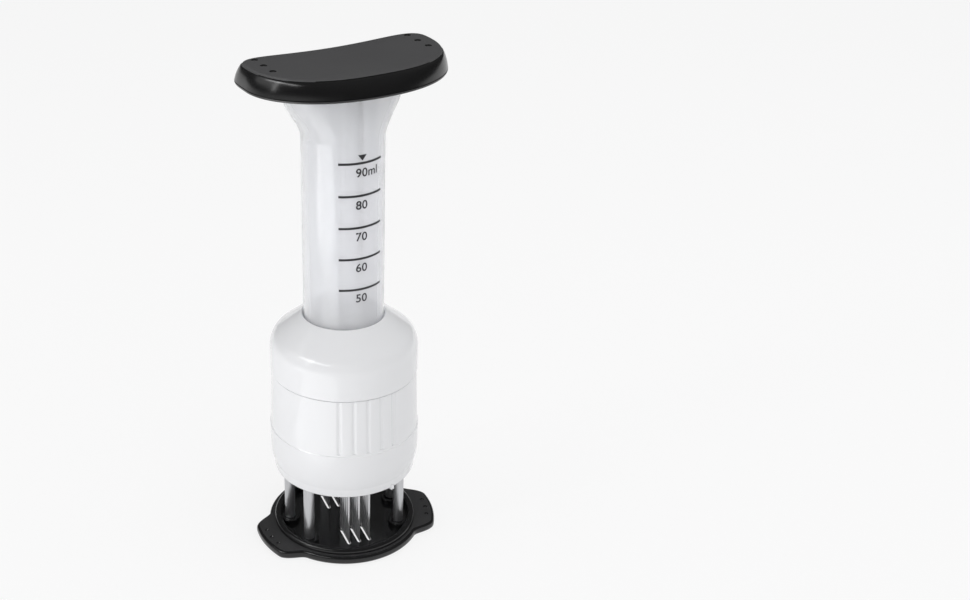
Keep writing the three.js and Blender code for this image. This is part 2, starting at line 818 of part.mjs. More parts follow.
function makeHandleBase() {
  const seam = handleBottom + handleBaseEdge;
  const plate = loft([
    handleOutline(handleRim, handleEdgeRounding, handleBottom),
    handleOutline(handleRim, 0, handleBottom + handleEdgeRounding),
    handleOutline(handleRim, 0, seam - runningGap),
    handleOutline(handleRim, runningGap, seam),
  ]);
  const half = vaneThickness / 2 + seatGap;
  const arm = tenonHalfWidth + seatGap;
  const socketBottom = handleBottom - handleBossHeight - overrun;
  const socketTop = seam - handleSocketFloor / 2;
  return plate
    .add(disc(handleBossRadius, handleBottom - handleBossHeight, handleBottom + handleEdgeRounding))
    .subtract(block(-arm, arm, -half, half, socketBottom, socketTop))
    .subtract(block(-half, half, -arm, arm, socketBottom, socketTop));
}

// The assembly, one group for each of the three bodies that move apart
const injector = new THREE.Group();
const needleGuard = new THREE.Group();
const housing = new THREE.Group();
const plunger = new THREE.Group();
injector.add(needleGuard, housing, plunger);

needleGuard.add(toMesh('guard_plate', makeGuardPlate(), materials.blackGloss));
postPlaces.forEach((place, i) => {
  needleGuard.add(toMesh(`guard_post_${i + 1}`, makePost(place), materials.brightSteel));
  needleGuard.add(toMesh(`stop_screw_${i + 1}`, makeStopScrew(place), materials.brightSteel));
  housing.add(toMesh(`return_spring_${i + 1}`, makeSpring(place), materials.springSteel));
});

housing.add(toMesh('housing_shell', makeHousingShell(), materials.whitePlastic));
housing.add(toMesh('housing_core', makeHousingCore(), materials.naturalPlastic));
housing.add(toMesh('bottom_cover', makeBottomCover(), materials.whitePlastic));
housing.add(toMesh('needle_manifold', makeNeedleManifold(), materials.naturalPlastic));
housing.add(toMesh('valve_plate', makeValvePlate(), materials.naturalPlastic));
housing.add(toMesh('check_valve', makeCheckValve(), materials.silicone));
housing.add(toMesh('barrel_gasket', makeBarrelGasket(), materials.silicone));
const barrel = toMesh('barrel', makeBarrel(), materials.clearPlastic);
barrel.rotation.z = barrelTurn;
housing.add(barrel);
needlePlaces.forEach((place, i) => {
  const name = `needle_${String(i + 1).padStart(2, '0')}`;
  housing.add(toMesh(name, makeNeedle(place), materials.brightSteel));
});

plunger.rotation.z = barrelTurn;
plunger.add(toMesh('plunger_rod', makePlungerRod(), materials.clearPlastic));
plunger.add(toMesh('piston_head', makePistonHead(), materials.naturalPlastic));
plunger.add(toMesh('piston_seal', makePistonSeal(), materials.silicone));
plunger.add(toMesh('handle_base', makeHandleBase(), materials.blackGloss));
plunger.add(toMesh('handle_shell', makeHandleShell(), materials.handleTopPlastic));

export default injector;
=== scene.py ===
import math

import bmesh
import bpy
from mathutils import Euler, Matrix, Vector


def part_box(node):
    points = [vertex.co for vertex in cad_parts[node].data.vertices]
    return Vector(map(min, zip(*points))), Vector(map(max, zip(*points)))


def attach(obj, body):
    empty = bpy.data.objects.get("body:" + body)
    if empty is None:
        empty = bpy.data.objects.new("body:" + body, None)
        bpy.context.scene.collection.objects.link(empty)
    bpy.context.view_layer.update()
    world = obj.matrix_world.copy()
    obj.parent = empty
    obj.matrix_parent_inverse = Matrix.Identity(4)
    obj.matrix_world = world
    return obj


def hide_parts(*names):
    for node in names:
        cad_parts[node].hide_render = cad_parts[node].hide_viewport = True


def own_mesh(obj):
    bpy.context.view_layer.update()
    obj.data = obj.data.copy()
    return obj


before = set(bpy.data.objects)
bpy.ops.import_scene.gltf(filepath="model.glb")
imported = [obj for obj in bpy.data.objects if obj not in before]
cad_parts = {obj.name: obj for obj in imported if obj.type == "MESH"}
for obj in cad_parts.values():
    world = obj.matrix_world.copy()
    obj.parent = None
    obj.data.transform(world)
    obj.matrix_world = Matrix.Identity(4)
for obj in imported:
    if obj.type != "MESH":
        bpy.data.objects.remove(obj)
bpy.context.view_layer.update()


# Needle guard plate. A round tray in glossy black ABS with a raised ring, two ears to
# press it down with, four bosses for the posts and one slot under each column of needles.
# It is moulded in one piece and hollow under the ring, and stands on the meat or the table.
MM = 0.001
FULL_TURN = 2 * math.pi
QUARTER_TURN = math.pi / 2
FINE_SIDES = 144
SMALL_SIDES = 40
FILLET_STEPS = 4
WELD = 0.000004
CREASE = math.radians(32)
OVERRUN = 1.0

GUARD_RADIUS = 33.4
GUARD_THICKNESS = 3.6
GUARD_ROUNDING = 1.2
GUARD_STEPS = 240
EAR_REACH = 6.5
EAR_ANGLE = math.radians(79)
EAR_HALF_ANGLE = math.radians(23)
EAR_BLEND = math.radians(8)
RING_OUTER = 31
RING_INNER = 27.8
RING_HEIGHT = 5.9
RING_ROUNDING = 1.45
GUARD_FLOOR = 2
GROOVE_DEPTH = 4.4
GROOVE_WALL = 1.1
BOSS_RADIUS = 4.2
BOSS_HEIGHT = 4.2
BOSS_FLOOR = 1.2
BOSS_ROUNDING = 0.5
POST_CIRCLE = 24.2
POST_MIDDLE_ANGLE = math.radians(80)
POST_SPREAD = math.radians(22.3)
POST_FOOT_RADIUS = 2
POST_FOOT_GAP = 0.15
SLOT_WIDTH = 1.6
SLOT_END_SPACE = 0.35
NEEDLE_RADIUS = 0.55
NEEDLE_COLUMNS = 3
NEEDLE_COLUMN_PITCH = 4.6
NEEDLE_ROW_START = 9.2
NEEDLE_ROW_PITCH = 2.5
NEEDLE_ROWS = 5
EAR_START = 33.5
LEVEL_FACE = 0.99
EAR_DIMPLE_RADIUS = 0.9
EAR_DIMPLE_DEPTH = 0.4
EAR_DIMPLE_PITCH = 5.5
EAR_DIMPLE_INSET = 3.4
CLOUD_DETAIL = 3
SKIN_DETAIL = 2


def placed(thing):
    """Puts a new object into the scene."""
    bpy.context.scene.collection.objects.link(thing)
    return thing


def solid_of(name, points, faces):
    """A closed mesh object from points in millimetres, its faces turned outwards."""
    mesh = bpy.data.meshes.new(name)
    mesh.from_pydata([Vector(point) * MM for point in points], [], faces)
    shape = bmesh.new()
    shape.from_mesh(mesh)
    bmesh.ops.remove_doubles(shape, verts=shape.verts, dist=WELD)
    bmesh.ops.recalc_face_normals(shape, faces=shape.faces)
    shape.to_mesh(mesh)
    shape.free()
    return placed(bpy.data.objects.new(name, mesh))


def rounded(corners, steps=FILLET_STEPS):
    """A closed outline of (across, up) points from corners (across, up, rounding)."""
    points = []
    for i, (across, up, radius) in enumerate(corners):
        here = Vector((across, up))
        if radius <= 0:
            points.append(tuple(here))
            continue
        to_last = (Vector(corners[i - 1][:2]) - here).normalized()
        to_next = (Vector(corners[(i + 1) % len(corners)][:2]) - here).normalized()
        half = to_last.angle(to_next) / 2
        centre = here + (to_last + to_next).normalized() * (radius / math.sin(half))
        start = here + to_last * (radius / math.tan(half)) - centre
        end = here + to_next * (radius / math.tan(half)) - centre
        sweep = start.angle(end)
        for step in range(steps + 1):
            share = step / steps
            spoke = start * math.sin((1 - share) * sweep) + end * math.sin(share * sweep)
            points.append(tuple(centre + spoke / math.sin(sweep)))
    return points


def spot_at(angle, radius):
    """The place (x, y) at a radius from the axis and an angle from the front to the right."""
    return radius * math.sin(angle), -radius * math.cos(angle)


def circle_at(x, y, radius):
    """Outline of a small round pin or hole about x, y."""
    spots = [spot_at(FULL_TURN * i / SMALL_SIDES, radius) for i in range(SMALL_SIDES)]
    return [(x + across, y + along) for across, along in spots]


def turned(name, profile, sides=FINE_SIDES, x=0, y=0):
    """A closed profile of (radius, height) points turned about the upright line at x, y."""
    count = len(profile)
    points = []
    for i in range(sides):
        for radius, height in profile:
            across, along = spot_at(FULL_TURN * i / sides, radius)
            points.append((x + across, y + along, height))
    faces = []
    for i in range(sides):
        here, there = i * count, (i + 1) % sides * count
        for k in range(count):
            after = (k + 1) % count
            if profile[k][0] > 0 or profile[after][0] > 0:
                faces.append((here + k, there + k, there + after, here + after))
    return solid_of(name, points, faces)


def wall_faces(count, levels, loop=False):
    """Faces between rings of equal count, joined in order and also as a loop if asked."""
    faces = []
    for level in range(levels if loop else levels - 1):
        low, high = level * count, (level + 1) % levels * count
        for i in range(count):
            j = (i + 1) % count
            faces.append((low + i, low + j, high + j, high + i))
    return faces


def stacked(name, rings, loop=False):
    """Rings of equal count joined in order. The ends are closed, or join up as a loop."""
    count = len(rings[0])
    points = [point for ring in rings for point in ring]
    faces = wall_faces(count, len(rings), loop)
    if not loop:
        faces.append(tuple(reversed(range(count))))
        faces.append(tuple(range(len(points) - count, len(points))))
    return solid_of(name, points, faces)


def upright(name, outlines, bottom, top):
    """Straight prisms over several outlines of (x, y) points, as one object."""
    points, faces = [], []
    for outline in outlines:
        first, count = len(points), len(outline)
        points += [(x, y, bottom) for x, y in outline] + [(x, y, top) for x, y in outline]
        for i in range(count):
            j = (i + 1) % count
            faces.append((first + i, first + j, first + count + j, first + count + i))
        faces.append(tuple(first + i for i in reversed(range(count))))
        faces.append(tuple(first + count + i for i in range(count)))
    return solid_of(name, points, faces)


def worked(solid, operation, *tools):
    """Joins the tools to the solid or cuts them out of it, and takes the tools away."""
    for tool in tools:
        step = solid.modifiers.new(tool.name, "BOOLEAN")
        step.operation = operation
        step.solver = "EXACT"
        step.object = tool
    bpy.context.view_layer.update()
    evaluated = solid.evaluated_get(bpy.context.evaluated_depsgraph_get())
    shaped = bpy.data.meshes.new_from_object(evaluated)
    solid.modifiers.clear()
    solid.data = shaped
    for tool in tools:
        bpy.data.objects.remove(tool)
    return solid


def dressed(solid, body, slot, materials, *nodes, crease=CREASE):
    """Gives a piece its smooth and sharp edges and materials, puts it on its body and hides the CAD nodes it
    stands for; the slot is not used.
    """
    mesh = solid.data
    mesh.materials.clear()
    for material in materials:
        mesh.materials.append(material)
    mesh.shade_smooth()
    mesh.set_sharp_from_angle(angle=crease)
    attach(solid, body)
    if nodes:
        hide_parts(*nodes)
    return solid


def wired(tree, *wires):
    """Links shader nodes, each wire from a node and its output to a node and its input."""
    for source, output, target, put in wires:
        tree.links.new(source.outputs[output], target.inputs[put])


def finish_group(name, *scales):
    """A shader group for a finish: a noise that shades the colour and makes gloss uneven."""
    group = bpy.data.node_groups.new(name, "ShaderNodeTree")
    for title, way, kind in (
        ("Colour", "INPUT", "Color"),
        ("Shade", "INPUT", "Color"),
        ("Gloss low", "INPUT", "Float"),
        ("Gloss high", "INPUT", "Float"),
        *((scale, "INPUT", "Float") for scale in scales),
        ("Colour", "OUTPUT", "Color"),
        ("Roughness", "OUTPUT", "Float"),
        ("Height", "OUTPUT", "Float"),
    ):
        group.interface.new_socket(name=title, in_out=way, socket_type="NodeSocket" + kind)
    node = group.nodes.new
    given, made, place = node("NodeGroupInput"), node("NodeGroupOutput"), node("ShaderNodeTexCoord")
    noise, tint, gloss = node("ShaderNodeTexNoise"), node("ShaderNodeMix"), node("ShaderNodeMapRange")
    tint.data_type = "RGBA"
    wired(
        group,
        (noise, "Fac", tint, "Factor"),
        (given, "Colour", tint, "A"),
        (given, "Shade", tint, "B"),
        (noise, "Fac", gloss, "Value"),
        (given, "Gloss low", gloss, "To Min"),
        (given, "Gloss high", gloss, "To Max"),
        (given, scales[0], noise, "Scale"),
        (tint, "Result", made, "Colour"),
        (gloss, "Result", made, "Roughness"),
    )
    return group, given, made, place, noise


def make_moulded_skin():
    """Shader group: the slightly cloudy colour, uneven gloss and fine skin of a moulding."""
    group, given, made, place, cloud = finish_group("moulded_skin", "Cloud scale", "Skin scale")
    skin = group.nodes.new("ShaderNodeTexNoise")
    cloud.inputs["Detail"].default_value = CLOUD_DETAIL
    skin.inputs["Detail"].default_value = SKIN_DETAIL
    wired(
        group,
        (place, "Object", cloud, "Vector"),
        (place, "Object", skin, "Vector"),
        (given, "Skin scale", skin, "Scale"),
        (skin, "Fac", made, "Height"),
    )
    return group


moulded_skin = make_moulded_skin()


def surface_of(name, sockets):
    """A new material, with these values on its own shader's sockets."""
    material = bpy.data.materials.new(name)
    material.use_nodes = True
    surface = material.node_tree.nodes["Principled BSDF"]
    for socket, value in sockets.items():
        surface.inputs[socket].default_value = value
    return material, material.node_tree, surface


def finished(name, group, colour, shade, gloss, scales, depth, sockets):
    """A material with a finish group behind its colour and gloss, and a fine relief."""
    material, tree, surface = surface_of(name, sockets)
    finish, relief = tree.nodes.new("ShaderNodeGroup"), tree.nodes.new("ShaderNodeBump")
    finish.node_tree = group
    given = {
        "Colour": (*colour, 1), "Shade": (*shade, 1),
        "Gloss low": gloss[0], "Gloss high": gloss[1], **scales,
    }
    for title, value in given.items():
        finish.inputs[title].default_value = value
    relief.inputs["Distance"].default_value = depth * MM
    wired(
        tree,
        (finish, "Colour", surface, "Base Color"),
        (finish, "Roughness", surface, "Roughness"),
        (finish, "Height", relief, "Height"),
        (relief, "Normal", surface, "Normal"),
    )
    return material, tree, surface


def moulded(name, colour, shade, gloss, skin_scale, skin_depth, specular=0.5, cloud_scale=40):
    """A moulded plastic: opaque, with the shared skin behind its colour and gloss."""
    scales = {"Cloud scale": cloud_scale, "Skin scale": skin_scale}
    sockets = {"Specular IOR Level": specular}
    return finished(name, moulded_skin, colour, shade, gloss, scales, skin_depth, sockets)[0]


def cup_profile(radius, depth, surface):
    """Profile of a shallow round cup with a sloping wall, cut into a face at this height."""
    return [
        (0, surface - depth),
        (radius - depth, surface - depth),
        (radius, surface),
        (radius, surface + OVERRUN),
        (0, surface + OVERRUN),
    ]


def guard_outline(inset, height):
    """Outline of the guard: a circle that swells to an ear on the right and the left."""
    points = []
    for i in range(GUARD_STEPS):
        angle = FULL_TURN * i / GUARD_STEPS
        from_ear = abs(EAR_ANGLE - min(angle, FULL_TURN - angle))
        share = (from_ear - EAR_HALF_ANGLE + EAR_BLEND) / (2 * EAR_BLEND)
        share = min(1, max(0, share))
        lobe = 1 - share * share * (3 - 2 * share)
        radius = GUARD_RADIUS + EAR_REACH * lobe - inset
        points.append((*spot_at(angle, radius), height))
    return points


def post_places():
    """The four places (x, y) of the posts, two by each ear."""
    places = []
    for side in (-1, 1):
        for turn in (-POST_SPREAD, POST_SPREAD):
            across, along = spot_at(POST_MIDDLE_ANGLE + turn, POST_CIRCLE)
            places.append((side * across, along))
    return places


def needle_columns():
    """Where the columns of needles stand, from left to right."""
    middle = (NEEDLE_COLUMNS - 1) / 2
    return [(column - middle) * NEEDLE_COLUMN_PITCH for column in range(NEEDLE_COLUMNS)]


def needle_slots():
    """Outlines of the six long holes with round ends, three on each side of the middle."""
    half = SLOT_WIDTH / 2
    reach = NEEDLE_RADIUS + SLOT_END_SPACE
    start = NEEDLE_ROW_START - reach
    end = NEEDLE_ROW_START + (NEEDLE_ROWS - 1) * NEEDLE_ROW_PITCH + reach
    outlines = []
    for side in (-1, 1):
        for x in needle_columns():
            outline = []
            for middle, turn in ((end, 0), (start, math.pi)):
                for i in range(SMALL_SIDES // 2 + 1):
                    angle = turn + FULL_TURN * i / SMALL_SIDES
                    across, along = math.cos(angle), math.sin(angle)
                    outline.append((x + half * across, side * (middle + half * along)))
            outlines.append(outline)
    return outlines


def edge_rings(outline, low, high, rounding):
    """Rings of an outline from low to high with the same rounding at both edges."""
    rings = []
    for middle, start in ((low + rounding, -QUARTER_TURN), (high - rounding, 0)):
        for step in range(FILLET_STEPS + 1):
            angle = start + QUARTER_TURN * step / FILLET_STEPS
            rings.append(outline(rounding * (1 - math.cos(angle)), middle + rounding * math.sin(angle)))
    return rings


guard_black = moulded(
    "guard_black", (0.006, 0.006, 0.0064), (0.010, 0.010, 0.0105),
    gloss=(0.14, 0.24), skin_scale=2600, skin_depth=0.0012,
)
guard_satin = moulded(
    "guard_satin", (0.034, 0.034, 0.035), (0.042, 0.042, 0.043),
    gloss=(0.38, 0.5), skin_scale=2400, skin_depth=0.008, specular=0.4, cloud_scale=30,
)
tray = stacked("guard_tray", edge_rings(guard_outline, 0, GUARD_THICKNESS, GUARD_ROUNDING))
tray_ring = turned("tray_ring", rounded([
    (RING_INNER, GUARD_FLOOR, 0),
    (RING_OUTER, GUARD_FLOOR, 0),
    (RING_OUTER, RING_HEIGHT, RING_ROUNDING),
    (RING_INNER, RING_HEIGHT, RING_ROUNDING),
]))
tray_well = turned("tray_well", [
    (0, GUARD_FLOOR),
    (RING_INNER, GUARD_FLOOR),
    (RING_INNER, GUARD_THICKNESS + OVERRUN),
    (0, GUARD_THICKNESS + OVERRUN),
])
tray_groove = turned("tray_groove", [
    (RING_INNER + GROOVE_WALL, -OVERRUN),
    (RING_OUTER - GROOVE_WALL, -OVERRUN),
    (RING_OUTER - GROOVE_WALL, GROOVE_DEPTH),
    (RING_INNER + GROOVE_WALL, GROOVE_DEPTH),
])
worked(tray, "UNION", tray_ring)
worked(tray, "DIFFERENCE", tray_well, tray_groove)
tray_bosses = [
    turned(f"tray_boss_{i}", rounded([
        (0, GUARD_FLOOR / 2, 0),
        (BOSS_RADIUS, GUARD_FLOOR / 2, 0),
        (BOSS_RADIUS, BOSS_HEIGHT, BOSS_ROUNDING),
        (0, BOSS_HEIGHT, 0),
    ]), SMALL_SIDES, x, y)
    for i, (x, y) in enumerate(post_places())
]
worked(tray, "UNION", *tray_bosses)
foot_radius = POST_FOOT_RADIUS + POST_FOOT_GAP
tray_feet = upright(
    "tray_feet", [circle_at(x, y, foot_radius) for x, y in post_places()], BOSS_FLOOR, BOSS_HEIGHT + OVERRUN
)
tray_slots = upright("tray_slots", needle_slots(), -OVERRUN, GUARD_FLOOR + OVERRUN)
dimple_circle = GUARD_RADIUS + EAR_REACH - EAR_DIMPLE_INSET
ear_cup = cup_profile(EAR_DIMPLE_RADIUS, EAR_DIMPLE_DEPTH, GUARD_THICKNESS)
tray_dimples = []
for side in (-1, 1):
    for step in (-1, 0, 1):
        x, y = spot_at(EAR_ANGLE + step * EAR_DIMPLE_PITCH / dimple_circle, dimple_circle)
        tray_dimples.append(turned(f"tray_dimple_{len(tray_dimples)}", ear_cup, SMALL_SIDES, side * x, y))
worked(tray, "DIFFERENCE", tray_feet, tray_slots, *tray_dimples)
dressed(tray, "guard", "black_plastic", [guard_black, guard_satin], "guard_plate")
for face in tray.data.polygons:
    aside = max(tray.data.vertices[i].co.xy.length for i in face.vertices)
    face.material_index = int(face.normal.z > LEVEL_FACE and aside > EAR_START * MM)


# Guard posts. Four bright drawn stainless rods with rounded edges, pressed into the bosses
# of the guard by a thinner foot. They slide in the housing's cover.
POST_RADIUS = 2.3
POST_ROUNDING = 0.25
LINE_STRETCH = 0.02


def make_drawn_lines():
    """Shader group: the fine lengthwise lines that drawing leaves on rod, tube and wire."""
    group, _, made, place, lines = finish_group("drawn_lines", "Line scale")
    stretch = group.nodes.new("ShaderNodeMapping")
    stretch.inputs["Scale"].default_value = (1, 1, LINE_STRETCH)
    wired(
        group,
        (place, "Object", stretch, "Vector"),
        (stretch, "Vector", lines, "Vector"),
        (lines, "Fac", made, "Height"),
    )
    return group


drawn_lines = make_drawn_lines()


def drawn_steel(name, colour, shade, gloss, line_scale, line_depth, stretch=0.0, metal=1.0):
    """Bright drawn steel: a metal whose gloss may stretch round its own axis."""
    sockets = {"Metallic": metal, "Anisotropic": stretch}
    material, tree, surface = finished(
        name, drawn_lines, colour, shade, gloss, {"Line scale": line_scale}, line_depth, sockets
    )
    if stretch:
        turning = tree.nodes.new("ShaderNodeTangent")
        turning.direction_type = "RADIAL"
        turning.axis = "Z"
        wired(tree, (turning, "Tangent", surface, "Tangent"))
    return material


def centred(solid, x, y):
    """Puts the origin of an upright piece on its own axis, which its brushed gloss goes round."""
    solid.data.transform(Matrix.Translation((-x * MM, -y * MM, 0)))
    solid.location = (x * MM, y * MM, 0)
    return solid


post_steel = drawn_steel(
    "post_steel", (0.66, 0.665, 0.68), (0.52, 0.525, 0.54),
    gloss=(0.26, 0.32), line_scale=2500, line_depth=0.002, stretch=1.0, metal=0.9,
)
post_low, post_high = (corner.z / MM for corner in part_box("guard_post_1"))
for i, (x, y) in enumerate(post_places(), 1):
    rod = turned(f"post_rod_{i}", rounded([
        (0, post_low, 0),
        (POST_FOOT_RADIUS, post_low, POST_ROUNDING),
        (POST_FOOT_RADIUS, BOSS_HEIGHT, 0),
        (POST_RADIUS, BOSS_HEIGHT, POST_ROUNDING),
        (POST_RADIUS, post_high, POST_ROUNDING),
        (0, post_high, 0),
    ]), SMALL_SIDES, x, y)
    dressed(centred(rod, x, y), "guard", "bright_steel", [post_steel], f"guard_post_{i}")


# Stop screws. Low round heads with a hexagon key, screwed into the post tops inside the
# housing. They hold the guard on and carry the springs, and show only with the shell off.
screw_steel = drawn_steel(
    "screw_steel", (0.56, 0.565, 0.58), (0.42, 0.425, 0.44),
    gloss=(0.2, 0.34), line_scale=1400, line_depth=0.003,
)


def coated(name, material):
    """Gives a CAD piece that keeps its own solid a material."""
    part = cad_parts[name].data
    part.materials.clear()
    part.materials.append(material)
    return part


for i, _ in enumerate(post_places(), 1):
    coated(f"stop_screw_{i}", screw_steel)


# Return springs. Four compression springs of drawn wire, with a closed coil at each end.
# They stand in the sleeves of the housing core, on the stop screws, press the guard down
# again and shorten as it comes up.
SPRING_RADIUS = 2.9
SPRING_WIRE = 0.35
SPRING_TURNS = 7
SPRING_CLOSED_TURNS = 1.0
SPRING_CLOSED_RISE = 2.1
SPRING_STEPS = 24
SPRING_WIRE_SIDES = 8
SPRING_CREASE = math.radians(60)
spring_wire = drawn_steel(
    "spring_wire", (0.44, 0.445, 0.46), (0.30, 0.305, 0.32),
    gloss=(0.25, 0.4), line_scale=1800, line_depth=0.002,
)


def spring_height(turn, low, high):
    """Height of the wire at a turn: the first and last turns lie almost flat."""
    closed = SPRING_WIRE * SPRING_CLOSED_RISE
    if turn < SPRING_CLOSED_TURNS:
        return low + closed * turn / SPRING_CLOSED_TURNS
    if turn > SPRING_TURNS - SPRING_CLOSED_TURNS:
        return high - closed * (SPRING_TURNS - turn) / SPRING_CLOSED_TURNS
    share = (turn - SPRING_CLOSED_TURNS) / (SPRING_TURNS - 2 * SPRING_CLOSED_TURNS)
    return low + closed + (high - low - 2 * closed) * share


for i, (x, y) in enumerate(post_places(), 1):
    low, high = (corner.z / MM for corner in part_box(f"return_spring_{i}"))
    rings = []
    for step in range(SPRING_TURNS * SPRING_STEPS + 1):
        turn = step / SPRING_STEPS
        angle = FULL_TURN * turn
        height = spring_height(turn, low + SPRING_WIRE, high - SPRING_WIRE)
        ring = []
        for side in range(SPRING_WIRE_SIDES):
            around = FULL_TURN * side / SPRING_WIRE_SIDES
            reach = SPRING_RADIUS + SPRING_WIRE * math.cos(around)
            up = height + SPRING_WIRE * math.sin(around)
            ring.append((x + reach * math.cos(angle), y + reach * math.sin(angle), up))
        rings.append(ring)
    coil = stacked(f"spring_coil_{i}", rings)
    dressed(coil, "housing", "spring_steel", [spring_wire], f"return_spring_{i}", crease=SPRING_CREASE)
    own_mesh(coil)


# Bottom cover. A shallow white lid that closes the housing, guides the four posts and lets
# the needles through. A small lug at the front of its rim keys it to the shell.
COVER_THICKNESS = 4
COVER_RECESS = 1.6
COVER_RIM_RADIUS = 30.1
COVER_LIP_WIDTH = 2.6
COVER_ROUNDING = 0.9
COVER_INNER_ROUNDING = 0.3
RIM_RADIUS = 30.5
GUIDE_GAP = 0.3
MANIFOLD_HALF_WIDTH = 8.2
MANIFOLD_HALF_LENGTH = 22.6
MANIFOLD_CORNER = 4
MANIFOLD_WALL = 2
LUG_ANGLE = math.radians(23.3)
LUG_HALF_WIDTH = 0.75
LUG_DEPTH = 0.55
LUG_TOP = 1.6
LUG_SINK = 2
white_plastic = moulded(
    "white_plastic", (0.84, 0.845, 0.86), (0.815, 0.82, 0.835),
    gloss=(0.07, 0.12), skin_scale=1500, skin_depth=0.0008, specular=0.38, cloud_scale=24,
)
cover_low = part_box("bottom_cover")[0].z / MM
manifold_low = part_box("needle_manifold")[0].z / MM
cover_high = cover_low + COVER_THICKNESS


def manifold_outline(inset):
    """Outline of the needle manifold, a long block with round corners."""
    outline = []
    corner = MANIFOLD_CORNER - inset
    spots = ((1, 1, 0), (-1, 1, 1), (-1, -1, 2), (1, -1, 3))
    for sign_x, sign_y, quarter in spots:
        middle_x = sign_x * (MANIFOLD_HALF_WIDTH - MANIFOLD_CORNER)
        middle_y = sign_y * (MANIFOLD_HALF_LENGTH - MANIFOLD_CORNER)
        for step in range(FILLET_STEPS + 1):
            angle = QUARTER_TURN * (quarter + step / FILLET_STEPS)
            outline.append((middle_x + corner * math.cos(angle), middle_y + corner * math.sin(angle)))
    return outline


def swung(solid, angle):
    """Turns a piece about the upright axis of the object."""
    solid.data.transform(Matrix.Rotation(angle, 4, "Z"))
    return solid


lid = turned("cover_lid", rounded([
    (0, cover_low + COVER_RECESS, 0),
    (COVER_RIM_RADIUS - COVER_LIP_WIDTH, cover_low + COVER_RECESS, 0),
    (COVER_RIM_RADIUS - COVER_LIP_WIDTH, cover_low, COVER_INNER_ROUNDING),
    (COVER_RIM_RADIUS, cover_low, COVER_ROUNDING),
    (RIM_RADIUS, cover_high, 0),
    (0, cover_high, 0),
]))
lid_wall = upright("lid_wall", [manifold_outline(0)], cover_high - COVER_RECESS, manifold_low)
lid_lug = upright("lid_lug", [[
    (-LUG_HALF_WIDTH, -COVER_RIM_RADIUS - LUG_DEPTH),
    (LUG_HALF_WIDTH, -COVER_RIM_RADIUS - LUG_DEPTH),
    (LUG_HALF_WIDTH, -COVER_RIM_RADIUS + LUG_SINK),
    (-LUG_HALF_WIDTH, -COVER_RIM_RADIUS + LUG_SINK),
]], cover_low - LUG_DEPTH, cover_low + LUG_TOP)
worked(lid, "UNION", lid_wall, swung(lid_lug, LUG_ANGLE))
lid_well = upright("lid_well", [manifold_outline(MANIFOLD_WALL)], cover_high, manifold_low + OVERRUN)
guide_radius = POST_RADIUS + GUIDE_GAP
guides = [circle_at(x, y, guide_radius) for x, y in post_places()]
lid_holes = upright("lid_holes", guides + needle_slots(), cover_low - OVERRUN, cover_high + OVERRUN)
worked(lid, "DIFFERENCE", lid_well, lid_holes)
dressed(lid, "housing", "white_plastic", [white_plastic], "bottom_cover")


# Needles. Thirty fine stainless tubes in two fields of three columns, bonded into the
# manifold, each ground to a slanting point on one side.
NEEDLE_BORE = 0.32
NEEDLE_SIDES = 16
NEEDLE_BEVEL = math.tan(math.radians(62))
needle_steel = drawn_steel(
    "needle_steel", (0.76, 0.765, 0.78), (0.62, 0.625, 0.64),
    gloss=(0.30, 0.36), line_scale=5000, line_depth=0.001, stretch=1.0, metal=0.82,
)


def needle_ring(x, y, radius, height, bevelled):
    """One ring of a needle's wall, level or along the slant of its point."""
    ring = []
    for i in range(NEEDLE_SIDES):
        angle = FULL_TURN * i / NEEDLE_SIDES
        across = radius * math.cos(angle)
        rise = (NEEDLE_RADIUS - across) * NEEDLE_BEVEL if bevelled else 0
        ring.append((x + across, y + radius * math.sin(angle), height + rise))
    return ring


needle_low, needle_high = (corner.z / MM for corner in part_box("needle_01"))
number = 0
for side in (-1, 1):
    for x in needle_columns():
        for row in range(NEEDLE_ROWS):
            number += 1
            y = side * (NEEDLE_ROW_START + row * NEEDLE_ROW_PITCH)
            tube = stacked(f"needle_tube_{number:02d}", [
                needle_ring(x, y, NEEDLE_RADIUS, needle_low, True),
                needle_ring(x, y, NEEDLE_RADIUS, needle_high, False),
                needle_ring(x, y, NEEDLE_BORE, needle_high, False),
                needle_ring(x, y, NEEDLE_BORE, needle_low, True),
            ], loop=True)
            dressed(centred(tube, x, y), "housing", "bright_steel", [needle_steel], f"needle_{number:02d}")


# Parts inside the housing. The core with its sleeves and socket, the manifold and the
# valve plate are milky natural polypropylene. The valve and the gasket are silicone.
natural_plastic = moulded(
    "natural_plastic", (0.66, 0.665, 0.66), (0.60, 0.605, 0.60),
    gloss=(0.38, 0.5), skin_scale=900, skin_depth=0.004, specular=0.45, cloud_scale=60,
)
silicone = moulded(
    "silicone", (0.58, 0.59, 0.60), (0.52, 0.53, 0.54),
    gloss=(0.5, 0.62), skin_scale=1200, skin_depth=0.003, specular=0.4, cloud_scale=80,
)
inner_parts = {
    natural_plastic: ("housing_core", "needle_manifold", "valve_plate"),
    silicone: ("check_valve", "barrel_gasket"),
}
for material, names in inner_parts.items():
    for name in names:
        part = coated(name, material)
        part.shade_smooth()
        part.set_sharp_from_angle(angle=CREASE)


